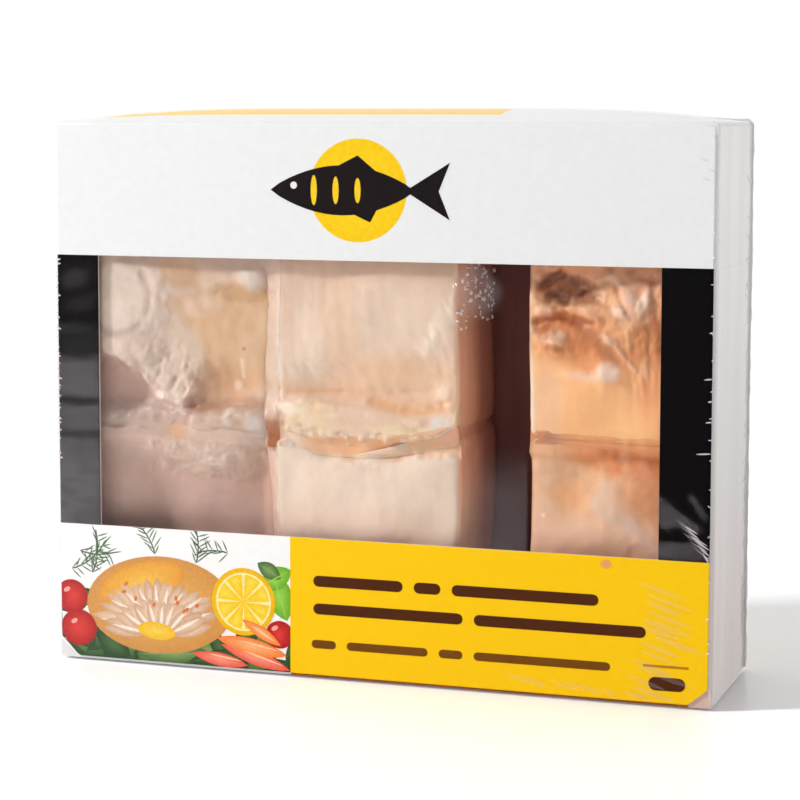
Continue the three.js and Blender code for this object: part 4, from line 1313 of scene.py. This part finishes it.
def make_film():
    """The shrink film: the pack's form just off the board, drawn into soft ripples and crinkled folds."""
    points, normals, quads = pack_surface(FILM_OFFSET, FILM_STEP)
    x, z = points[:, 0], points[:, 2]
    ripple = layered_noise(points * [0.25, 1, 1], 9, 3, 2)
    slack = layered_noise(points, 24, 5, 2)
    crinkle = layered_noise(points * [1, 1, 0.6], 3.4, 8, 2)
    near_fold = smooth(1 - (CARTON_WIDTH / 2 - np.abs(x)) / 5)
    left_band = smooth((WINDOW_LEFT + 4 - x) / 6)
    lift = 0.05 * slack + 0.08 * ripple * left_band + 0.08 * crinkle * near_fold
    lift += 0.06 * ripple * smooth((60 - z) / 30) * smooth((x - 50) / 30)
    points += normals * np.clip(lift, -FILM_REACH, FILM_REACH)[:, None]
    film = mesh_piece("shrink_film", points, quads.tolist(), [FILM])
    front = FrontMasks(points, 90)
    front.normals = normals
    paint_film_reflections(film, front)
    place_piece(film, "film", "film")


class FoldSheet:
    """Narrow tapered ridges of gathered film, lying on the front or on an end."""

    def __init__(self):
        self.points, self.faces = [], []

    def ridge(self, start, end, width, height, out, steps=8):
        """A ridge from start to end (millimetres), standing off in the direction out."""
        start, end, out = (np.asarray(value, float) for value in (start, end, out))
        side = np.cross(end - start, out)
        side /= np.linalg.norm(side)
        first = len(self.points)
        for step in range(steps + 1):
            part = step / steps
            swell = max(0.06, math.sin(math.pi * part) ** 0.7)
            at = start + (end - start) * part
            half = side * width / 2 * swell
            self.points += [at - half, at + out * height * swell, at + half, at - out * 0.03]
        for step in range(steps):
            a = first + 4 * step
            self.faces += [(a + i, a + (i + 1) % 4, a + 4 + (i + 1) % 4, a + 4 + i) for i in range(4)]
        last = first + 4 * steps
        self.faces += [(first + 3, first + 2, first + 1, first), (last, last + 1, last + 2, last + 3)]

    def make(self, name, material, smooth_shaded=True):
        """The ridges as one mesh with their faces pointing out."""
        sheet = mesh_piece(name, self.points, self.faces, [material], smooth_shaded=smooth_shaded)
        point_outwards(sheet.data)
        return sheet


FOLD_GAP = 0.07


def make_film_folds():
    """Gathered folds of the film: fans at the lower right, short crinkles along both front folds; the fine
    creases and the crinkles are whitened as painted glints.
    """
    random = np.random.default_rng(17)
    sheet = FoldSheet()
    front = FRONT_FACE - FILM_OFFSET - FOLD_GAP

    def on_front(x0, z0, x1, z1, width, height, on=sheet):
        on.ridge((x0, front, z0), (x1, front, max(z1, CARTON_BASE + 1.5)), width, height, (0, -1, 0))

    streaks = FoldSheet()
    for step in range(13):
        z = CARTON_BASE + 36 - 2.5 * step + random.uniform(-0.5, 0.5)
        x = 86 - 0.2 * step + random.uniform(-4, 3)
        reach = random.uniform(10, 18)
        on_front(x, z, min(x + reach, 103.8), z - reach * random.uniform(0.3, 0.33),
                 random.uniform(1.2, 2.0), 0.02, streaks)
    for step in range(7):
        x = 44 + 6 * step + random.uniform(-2, 2)
        z = CARTON_BASE + 6 - 0.4 * step
        on_front(x, z, x + random.uniform(5, 9), z - random.uniform(1.5, 3),
                 random.uniform(1.0, 1.8), 0.02, streaks)
    place_piece(streaks.make("film_streaks", SOFT_FOLD_FILM, False), "film")
    creases = FoldSheet()
    for step in range(9):
        x = 96.8 + 0.75 * step
        z = CARTON_BASE + 53.4 - 1.0 * step + random.uniform(-0.4, 0.4)
        reach = random.uniform(2.6, 5.0)
        on_front(x, z, min(x + reach, 104.3), z - reach * random.uniform(0.5, 0.9),
                 random.uniform(0.25, 0.5), 0.05, creases)
    for step in range(9):
        x = 96.5 + 0.7 * step
        z = CARTON_BASE + 54.5 - 1.1 * step + random.uniform(-0.5, 0.5)
        on_front(x - 2.4, z + 1.2, min(x + random.uniform(1.6, 3.4), 104.2), z - random.uniform(1.4, 2.6),
                 random.uniform(0.25, 0.5), 0.06)
    for z, reach in ((75.4, 4.4), (84.6, 1.8), (90.6, 1.2), (97, 2.4), (110.4, 1.0)):
        on_front(104.2 - reach, z, 104.4, z + 0.3, 0.5, 0.06, creases)
    # Crinkles along the left and right front folds, whitened as painted glints.
    for step in range(34):
        z = CARTON_BASE + 127 - 1.9 * step + random.uniform(-0.7, 0.7)
        on_front(-104.5, z, -104.5 + random.uniform(0.6, 1.9), z + random.uniform(-0.9, 0.9),
                 random.uniform(0.45, 0.8), 0.06, creases)
    for step in range(22):
        z = CARTON_BASE + 166 - 7.2 * step + random.uniform(-2.5, 2.5)
        on_front(104.4, z, 104.4 - random.uniform(0.5, 1.3), z + random.uniform(-0.9, 0.9),
                 random.uniform(0.3, 0.5), 0.05, creases)
    place_piece(creases.make("film_creases", GLINT_PAINTED_CREASE_FILM), "film")
    for x, z in ((99.5, 160.5), (101.5, 157.5), (100.2, 155)):
        on_front(x, z, x + 2.6, z - 1.0, 0.5, 0.06)
    side = CARTON_WIDTH / 2 + FILM_OFFSET + 0.05
    for way in (-1, 1):
        for step in range(24):
            z = CARTON_BASE + 8 + 6.4 * step + random.uniform(-2, 2)
            y = random.uniform(13, 19)
            sheet.ridge((way * side, y, z), (way * side, 21.4, z + random.uniform(-4, 4)),
                        random.uniform(0.4, 0.8), 0.08, (way, 0, 0))
    place_piece(sheet.make("film_folds", FOLDED_FILM), "film")


SEAM_PLACE = 22.0
SEAM_HALF = 0.24


def seam_route(steps_up=90, steps_over=120):
    """Places and outward directions along the seam: up one end, over the top and down the other."""
    side = CARTON_WIDTH / 2 + FILM_OFFSET
    shoulder = CARTON_BASE + CARTON_HEIGHT - FOLD_RADIUS
    places = [((-side, z), (-1.0, 0.0)) for z in np.linspace(CARTON_BASE + 2, shoulder, steps_up)]
    corner = np.radians([165, 150, 135, 120, 105])
    for angle in corner:
        way = (math.cos(angle), math.sin(angle))
        radius = FOLD_RADIUS + FILM_OFFSET
        places.append(((-CARTON_WIDTH / 2 + FOLD_RADIUS + way[0] * radius, shoulder + way[1] * radius), way))
    flat = CARTON_WIDTH / 2 - FOLD_RADIUS
    for x in np.linspace(-flat, flat, steps_over):
        crown = float(top_crown(np.array(x), np.array(SEAM_PLACE)))
        places.append(((x, CARTON_BASE + CARTON_HEIGHT + FILM_OFFSET + crown), (0.0, 1.0)))
    mirrored = [((-x, z), (-out, up)) for (x, z), (out, up) in places[:steps_up + len(corner)]]
    return places + mirrored[::-1]


def make_seam():
    """The welded fin of the film: a thin crinkled strip that stands off both ends and the top, milky grey as
    painted shade.
    """
    route = seam_route()
    points, faces = [], []
    along = np.arange(len(route), dtype=float)
    wave = layered_noise(np.stack([along * 1.9, along * 0, along * 0], axis=1), 7, 12, 3)
    height = layered_noise(np.stack([along * 1.9, along * 0 + 40, along * 0], axis=1), 4, 15, 2)
    for ((x, z), (out, up)), sway, rise in zip(route, wave, height):
        low_end = smooth(1 - (z - CARTON_BASE) / 55)
        stand = 0.62 + 0.3 * rise + 0.25 * float(low_end)
        stand = min(max(stand, 0.2), FILM_HIGH[0] - CARTON_WIDTH / 2 - FILM_OFFSET - 0.03)
        shift = sway * (0.7 + 2.0 * float(low_end))
        for level, lean in ((-0.05, 0.0), (stand * 0.5, 0.55), (stand, 1.0)):
            for half in (-SEAM_HALF, SEAM_HALF):
                y = SEAM_PLACE + half * (1.4 - lean) + shift * lean
                points.append((x + out * level, y, z + up * level))
    for step in range(len(route) - 1):
        a = 6 * step
        ring = [a, a + 2, a + 4, a + 5, a + 3, a + 1]
        faces += [(ring[i], ring[(i + 1) % 6], ring[(i + 1) % 6] + 6, ring[i] + 6) for i in range(6)]
    end = 6 * (len(route) - 1)
    faces += [(0, 1, 3, 5, 4, 2), (end, end + 2, end + 4, end + 5, end + 3, end + 1)]
    seam = mesh_piece("film_seam", points, faces, [SEAM_PAINTED_SHADE_FILM])
    place_piece(seam, "film")


# ---- Frost, and the gaps between loins ----

def scatter_tree(name):
    """Geometry Nodes that strew small rough grains over a surface, as thickly as an attribute says."""
    tree = bpy.data.node_groups.new(name, "GeometryNodeTree")
    face = tree.interface
    face.new_socket("Geometry", in_out="OUTPUT", socket_type="NodeSocketGeometry")
    face.new_socket("Surface", in_out="INPUT", socket_type="NodeSocketGeometry")
    for label, kind in (("Coverage Name", "NodeSocketString"),
                        ("Grains Per Square Metre", "NodeSocketFloat"),
                        ("Grain Size", "NodeSocketFloat"),
                        ("Seed", "NodeSocketInt"),
                        ("Finish", "NodeSocketMaterial")):
        face.new_socket(label, in_out="INPUT", socket_type=kind)
    nodes, links = tree.nodes, tree.links
    given = add_node(nodes, "NodeGroupInput")
    coverage = add_node(nodes, "GeometryNodeInputNamedAttribute", data_type="FLOAT")
    strewn = add_node(nodes, "GeometryNodeDistributePointsOnFaces")
    density = add_node(nodes, "ShaderNodeMath", operation="MULTIPLY")
    grain = add_node(nodes, "GeometryNodeMeshIcoSphere", Subdivisions=2)
    uneven = add_node(nodes, "FunctionNodeRandomValue", data_type="FLOAT_VECTOR")
    uneven.inputs[0].default_value = (0.25, 0.25, 0.3)
    uneven.inputs[1].default_value = (1.1, 1.1, 1.2)
    placed = add_node(nodes, "GeometryNodeInstanceOnPoints")
    real = add_node(nodes, "GeometryNodeRealizeInstances")
    finish = add_node(nodes, "GeometryNodeSetMaterial")
    result = add_node(nodes, "NodeGroupOutput")
    links.new(given.outputs["Coverage Name"], coverage.inputs["Name"])
    links.new(coverage.outputs["Attribute"], density.inputs[0])
    links.new(given.outputs["Grains Per Square Metre"], density.inputs[1])
    links.new(given.outputs["Surface"], strewn.inputs["Mesh"])
    links.new(density.outputs["Value"], strewn.inputs["Density"])
    links.new(given.outputs["Seed"], strewn.inputs["Seed"])
    links.new(given.outputs["Seed"], uneven.inputs["Seed"])
    links.new(given.outputs["Grain Size"], grain.inputs["Radius"])
    links.new(strewn.outputs["Points"], placed.inputs["Points"])
    links.new(strewn.outputs["Rotation"], placed.inputs["Rotation"])
    links.new(grain.outputs["Mesh"], placed.inputs["Instance"])
    links.new(uneven.outputs["Value"], placed.inputs["Scale"])
    links.new(placed.outputs["Instances"], real.inputs["Geometry"])
    links.new(real.outputs["Geometry"], finish.inputs["Geometry"])
    links.new(given.outputs["Finish"], finish.inputs["Material"])
    links.new(finish.outputs["Geometry"], result.inputs["Geometry"])
    return tree


def strew(name, tree, surfaces, **given):
    """One piece of grains strewn over several surfaces: each grain keeps the tone of its place."""
    points, faces, tones = [], [], []
    for number, surface in enumerate(surfaces):
        carrier = bpy.data.objects.new("carrier", surface.data)
        bpy.context.scene.collection.objects.link(carrier)
        strewing = carrier.modifiers.new("strewing", "NODES")
        strewing.node_group = tree
        values = {"Seed": 5 + number, **given}
        for socket in tree.interface.items_tree:
            if socket.in_out == "INPUT" and socket.name.replace(" ", "_") in values:
                strewing[socket.identifier] = values[socket.name.replace(" ", "_")]
        evaluated = carrier.evaluated_get(bpy.context.evaluated_depsgraph_get())
        grains = bpy.data.meshes.new_from_object(evaluated)
        bpy.data.objects.remove(carrier)
        if not grains.vertices:
            continue
        corners = np.zeros(3 * len(grains.polygons), int)
        grains.polygons.foreach_get("vertices", corners)
        faces.append(corners.reshape(-1, 3) + sum(map(len, points)))
        points.append(read_vectors(grains.vertices, "co") / MM)
        tone = np.zeros(4 * len(grains.vertices))
        grains.attributes["flesh"].data.foreach_get("color", tone)
        tones.append(tone.reshape(-1, 4))
    points = np.vstack(points)
    lumpy = 0.12 * layered_noise(points, 0.5, 3, 2)
    points = points + np.stack([lumpy, -np.abs(lumpy), lumpy[::-1]], axis=1)
    points[:, 1] = np.maximum(points[:, 1], FRONT_LIMIT)
    piece = mesh_piece(name, points, np.vstack(faces).tolist(), [given["Finish"]])
    paint(piece.data, "flesh", np.vstack(tones))
    place_piece(piece, "fish")


# Each gap between two loins: the axes that it runs along, across and into, and which way is out; its
# ends, and the steps added past them where four loins meet; half its width; how far its middle sinks;
# and the tone painted over its middle, mostly painted shade, as (place, tone, strength).
GAPS = [
    ("upper_left", "lower_left", (0, 2, 1), -1, (-99, -35.5), (0, 0), 3.2, 0.35,
     [(-97, "fold", 0.5), (-72, "fold", 0.7), (-65, "ochre", 0.9), (-58, "cream_grey", 0.4),
      (-36, "pink_cream", 0.3)]),
    ("upper_middle", "lower_middle", (0, 2, 1), -1, (-31, 27.4), (0, 0), 4.2, 0.7,
     [(-31, "russet", 0.7), (-27, "cream", 0.2), (-22, "peach_deep", 0.7), (-8, "peach_deep", 1.0),
      (-2, "peach_deep", 0.9), (5, "peach_deep", 1.0), (18, "amber", 1.0), (26, "flank", 0.8)]),
    ("upper_right", "lower_right", (0, 2, 1), -1, (48, 101), (0, 0), 2.8, 0.1,
     [(48, "rust", 0.8), (56, "russet", 0.9), (62, "orange", 0.6), (101, "orange", 0.6)]),
    ("upper_middle", "upper_left", (2, 0, 1), -1, (74, 133), (5, 0), 3.0, 0.2,
     [(74, "rust", 0.9), (79, "russet", 0.9), (82, "lilac", 0.3), (129, "lilac", 0.3)]),
    ("lower_middle", "lower_left", (2, 0, 1), -1, (36, 75), (0, 6), 2.8, 0.3,
     [(36, "mauve_dark", 0.5), (68, "mauve", 0.5), (73, "rust", 0.8)]),
    ("upper_middle", "lower_middle", (1, 2, 0), 1, (-24.5, 16), (0, 0), 3.6, 0.2,
     [(-23, "flank", 0.3), (16, "flank_deep", 0.5)]),
]
GAP_STEP = 0.8
GAP_PLACES = 15
GAP_COVER = 0.15
GAP_EDGE_DIP = 0.4
GAP_ROUGHNESS = 0.18
GAP_FILL = 1.4
NOTHING_MET = -1e3
RAY_START = 120.0


def eased(values, weights):
    """Values evened out by a sliding window of weights, with both ends held."""
    return np.convolve(np.pad(values, len(weights) // 2, "edge"), weights, "valid")


def seam_places(first, second, axes, out, ends):
    """Where two neighbours meet: places across the gap at even steps along it, as a smooth line."""
    along, across, depth = axes
    near = [read_vectors(piece.data.vertices, "co") / MM for piece in (first, second)]
    near = [points[points[:, depth] * out > 8] for points in near]
    places = []
    for step in np.arange(*ends, GAP_STEP):
        sides = [points[np.abs(points[:, along] - step) < 1.0][:, across] for points in near]
        if len(sides[0]) and len(sides[1]):
            places.append((step, (sides[0].min() + sides[1].max()) / 2))
    places = np.array(places)
    places[:, 1] = eased(places[:, 1], np.ones(7) / 7)
    return places


def met_from_outside(loin, place, depth, out):
    """Where a ray into the pack meets a loin, and the tone painted there, or None."""
    inward = Vector((0, 0, 0))
    inward[depth] = -out
    start = Vector(place)
    start[depth] = out * RAY_START
    hit, where, _, number = loin.ray_cast(start * MM, inward)
    if not hit:
        return None
    corner = loin.data.polygons[number].vertices[0]
    return where[depth] / MM, np.array(loin.data.color_attributes["flesh"].data[corner].color[:3])


def gap_rows(first, second, axes, out, ends, added, half):
    """Rows across a gap: where each lies, its middle, and both neighbours' levels and tones beside it."""
    along, across, depth = axes
    rows = []
    for step, middle in seam_places(first, second, axes, out, ends):
        met = []
        for loin, way in ((second, -1), (first, 1)):
            place = [0.0, 0.0, 0.0]
            place[along], place[across] = step, middle + way * half
            met.append(met_from_outside(loin, place, depth, out))
        if None not in met:
            rows.append((step, middle, met[0][0], met[1][0], met[0][1], met[1][1]))
    before = [(rows[0][0] - GAP_STEP * step, *rows[0][1:]) for step in range(added[0], 0, -1)]
    after = [(rows[-1][0] + GAP_STEP * step, *rows[-1][1:]) for step in range(1, added[1] + 1)]
    return before + rows + after


def gap_form(pair, rows, axes, out, half, sink, part):
    """Points of a gap's strip: from one loin's level to the other's, sunk between, yet over both loins."""
    along, across, depth = axes
    levels = np.array([row[2:4] for row in rows])
    for side in (0, 1):
        levels[:, side] = eased(levels[:, side], np.ones(5) / 5)
    grid = np.zeros((len(rows), len(part), 3))
    under = np.zeros(grid.shape[:2])
    for i, (step, middle, *_) in enumerate(rows):
        grid[i, :, along] = step
        grid[i, :, across] = middle + half * (2 * part - 1)
        for k, place in enumerate(grid[i]):
            met = [met_from_outside(loin, place, depth, out) for loin in pair]
            under[i, k] = max([out * hit[0] for hit in met if hit], default=NOTHING_MET)
    level = out * (levels[:, :1] + (levels[:, 1:] - levels[:, :1]) * part)
    cover = np.clip(under, level - 3, level + 1.5) + GAP_COVER
    cover = np.apply_along_axis(eased, 0, cover, [0.25, 0.5, 0.25])
    outward = np.maximum(level - sink * np.sin(math.pi * part), cover)
    grid[:, :, depth] = out * (outward - GAP_EDGE_DIP * np.abs(2 * part - 1) ** 3)
    return grid.reshape(-1, 3)


def gap_tones(rows, points, along, middles, part, shades, number):
    """Tones of a gap's strip: the neighbours' own at its sides, and over its middle the gap's tones, mostly
    painted shade.
    """
    tone = np.array([low + (high - low) * part[:, None] for *_, low, high in rows]).reshape(-1, 3)
    tints = np.array([linear(*TONES[name])[:3] for _, name, _ in shades]) * TONE_GAIN
    at = [place for place, _, _ in shades]
    tint = np.stack([np.interp(points[:, along], at, tints[:, i]) for i in range(3)], axis=1)
    strength = np.interp(points[:, along], at, [share for _, _, share in shades])
    uneven = 0.6 * layered_noise(points, 3, 60 + number, 3)
    strength = strength * smooth(middles * 2.2 - 0.4 + uneven)
    tone = tone + (tint - tone) * strength[:, None]
    return tone * (1 + 0.06 * layered_noise(points, 2, 70 + number, 2))[:, None]


def strip_faces(rows, columns, first):
    """Faces of a closed strip: a grid of points, the same grid behind it, and a rim round both."""
    count = rows * columns
    index = first + np.arange(count).reshape(rows, columns)
    ring = [index[:-1, :-1], index[1:, :-1], index[1:, 1:], index[:-1, 1:]]
    quads = np.stack(ring, axis=-1).reshape(-1, 4)
    rim = np.concatenate([index[0, :], index[1:, -1], index[-1, -2::-1], index[-2:0:-1, 0]]).tolist()
    sides = [(a, b, b + count, a + count) for a, b in zip(rim, rim[1:] + rim[:1])]
    return quads.tolist() + (quads[:, ::-1] + count).tolist() + sides


def make_glaze(loins):
    """Soft flesh and glaze in the gaps: a shallow valley from each loin's surface to its neighbour's, tinted
    with painted shade over its middle.
    """
    named = {piece.name.removeprefix("cod_loin_"): piece for piece in loins}
    bpy.context.view_layer.update()
    part = np.linspace(0, 1, GAP_PLACES)
    points, faces, tones = [], [], []
    for number, (first, second, axes, out, ends, added, half, sink, shades) in enumerate(GAPS):
        along, across, depth = axes
        pair = (named[first], named[second])
        rows = gap_rows(*pair, axes, out, ends, added, half)
        front = gap_form(pair, rows, axes, out, half, sink, part)
        middles = np.tile(np.sin(math.pi * part), len(rows))
        rough = layered_noise(front, 2.4, 40 + number, 3) * middles
        front[:, depth] += out * GAP_ROUGHNESS * rough
        if depth == 1:
            front[:, 1] = np.maximum(front[:, 1], FRONT_LIMIT)
        front[:, across] += 0.5 * layered_noise(front, 3.4, 50 + number, 2) * middles
        tone = gap_tones(rows, front, along, middles, part, shades, number)
        back = front.copy()
        back[:, depth] -= out * GAP_FILL
        faces += strip_faces(len(rows), GAP_PLACES, sum(map(len, points)))
        points += [front, back]
        tones += [tone, tone]
    glaze = mesh_piece("glaze_in_gaps", np.vstack(points), faces, [FLESH])
    point_outwards(glaze.data)
    tones = np.clip(np.vstack(tones), 0, PALEST)
    paint(glaze.data, "flesh", np.hstack([tones, np.ones((len(tones), 1))]))
    place_piece(glaze, "fish")


def make_grains(loins):
    """Grains of ice on the frosted edges."""
    tree = scatter_tree("strewn_grains")
    strew("frost_grains", tree, loins, Coverage_Name="frost", Grains_Per_Square_Metre=0.17e6,
          Grain_Size=0.75 * MM, Finish=FROST)


# ---- Floor, light and camera ----

def make_floor():
    """A white, faintly glossy studio floor."""
    left, right, front, back = -1500, 1500, -1500, 420
    corners = [(left, front, 0), (right, front, 0), (right, back, 0), (left, back, 0)]
    floor = mesh_piece("studio_floor", corners, [(0, 1, 2, 3)], [])
    material, _, _, shader = new_material("studio_floor_white")
    shader.inputs["Base Color"].default_value = (0.92, 0.92, 0.92, 1)
    shader.inputs["Roughness"].default_value = 0.3
    floor.data.materials.append(material)
    floor.visible_glossy = False


def area_light(name, place, target, size, power, colour=(1, 1, 1)):
    """A soft square light at place (in metres) that points at target, with its power in watts."""
    data = bpy.data.lights.new(name, "AREA")
    data.shape = "SQUARE"
    data.size = size
    data.energy = power
    data.color = colour
    light = bpy.data.objects.new(name, data)
    light.location = place
    light.rotation_mode = "QUATERNION"
    light.rotation_quaternion = (Vector(target) - Vector(place)).to_track_quat("-Z", "Y")
    bpy.context.scene.collection.objects.link(light)
    return light


def make_world():
    """A white studio that is dark towards the front, as a room behind a camera is."""
    world = bpy.data.worlds.new("studio")
    world.use_nodes = True
    nodes, links = world.node_tree.nodes, world.node_tree.links
    background = nodes["Background"]
    background.inputs["Color"].default_value = (1, 1, 1, 1)
    where = add_node(nodes, "ShaderNodeTexCoord")
    axes = add_node(nodes, "ShaderNodeSeparateXYZ")
    links.new(where.outputs["Generated"], axes.inputs["Vector"])
    level = spread(nodes, links, axes.outputs["Y"], -0.9, 0.2, 0.33, 0.84)
    right = spread(nodes, links, axes.outputs["X"], 0.1, 0.9, 1.0, 0.78)
    shaded = add_node(nodes, "ShaderNodeMath", operation="MULTIPLY")
    links.new(level, shaded.inputs[0])
    links.new(right, shaded.inputs[1])
    soft = shaded.outputs["Value"]
    behind = spread(nodes, links, axes.outputs["Y"], -0.35, 0.1, 0.02, 1.0)
    left = spread(nodes, links, axes.outputs["X"], -0.36, -0.46, 0.0, 1.0)
    low = spread(nodes, links, axes.outputs["Z"], -0.082, -0.108, 0.12, 1.0)
    table = add_node(nodes, "ShaderNodeMath", operation="MULTIPLY")
    links.new(left, table.inputs[0])
    links.new(low, table.inputs[1])
    mirrored = add_node(nodes, "ShaderNodeMath", operation="MAXIMUM")
    links.new(behind, mirrored.inputs[0])
    links.new(table.outputs["Value"], mirrored.inputs[1])
    rays = add_node(nodes, "ShaderNodeLightPath")
    by_ray = soft
    for ray, value in (("Is Glossy Ray", mirrored.outputs["Value"]), ("Is Camera Ray", None)):
        choice = add_node(nodes, "ShaderNodeMix", data_type="FLOAT")
        links.new(rays.outputs[ray], choice.inputs["Factor"])
        links.new(by_ray, choice.inputs[2])
        if value is None:
            choice.inputs[3].default_value = 1.02
        else:
            links.new(value, choice.inputs[3])
        by_ray = choice.outputs[0]
    links.new(by_ray, background.inputs["Strength"])
    bpy.context.scene.world = world


def make_light():
    """The studio's soft light, a key light from the left, and one at its place for the floor alone."""
    make_world()
    place, target, size = (-1.6, -0.85, 1.06), (0, 0, 0.05), 0.27
    area_light("key_light", place, target, size, 34.4)
    floor_only = bpy.data.collections.new("floor_only")
    floor_only.objects.link(bpy.data.objects["studio_floor"])
    floor_light = area_light("floor_light", place, target, size, 29)
    floor_light.light_linking.receiver_collection = floor_only


def make_camera():
    """The camera at the photograph's place, fitted to the carton's corners."""
    yaw, pitch, roll = (math.radians(angle) for angle in (18.811, -5.607, -0.107))
    data = bpy.data.cameras.new("camera")
    data.lens = 106.05
    data.sensor_width = 36
    data.shift_y = -0.06
    camera = bpy.data.objects.new("camera", data)
    turn = Matrix.Rotation(yaw, 4, "Z") @ Matrix.Rotation(pitch, 4, "X") @ Matrix.Rotation(roll, 4, "Y")
    place = Matrix.Translation(Vector((235.9, FRONT_FACE - 664.6, 170.9)) * MM)
    camera.matrix_world = place @ turn @ Matrix.Rotation(math.radians(90), 4, "X")
    bpy.context.scene.collection.objects.link(camera)
    bpy.context.scene.camera = camera


bpy.context.scene.view_settings.view_transform = "Standard"
make_camera()
make_floor()
make_light()
make_carton()
make_end_flaps()
make_print()
loins = [make_loin(node, *finish) for node, finish in LOINS.items()]
make_glaze(loins)
make_grains(loins)
make_film()
make_film_folds()
make_seam()
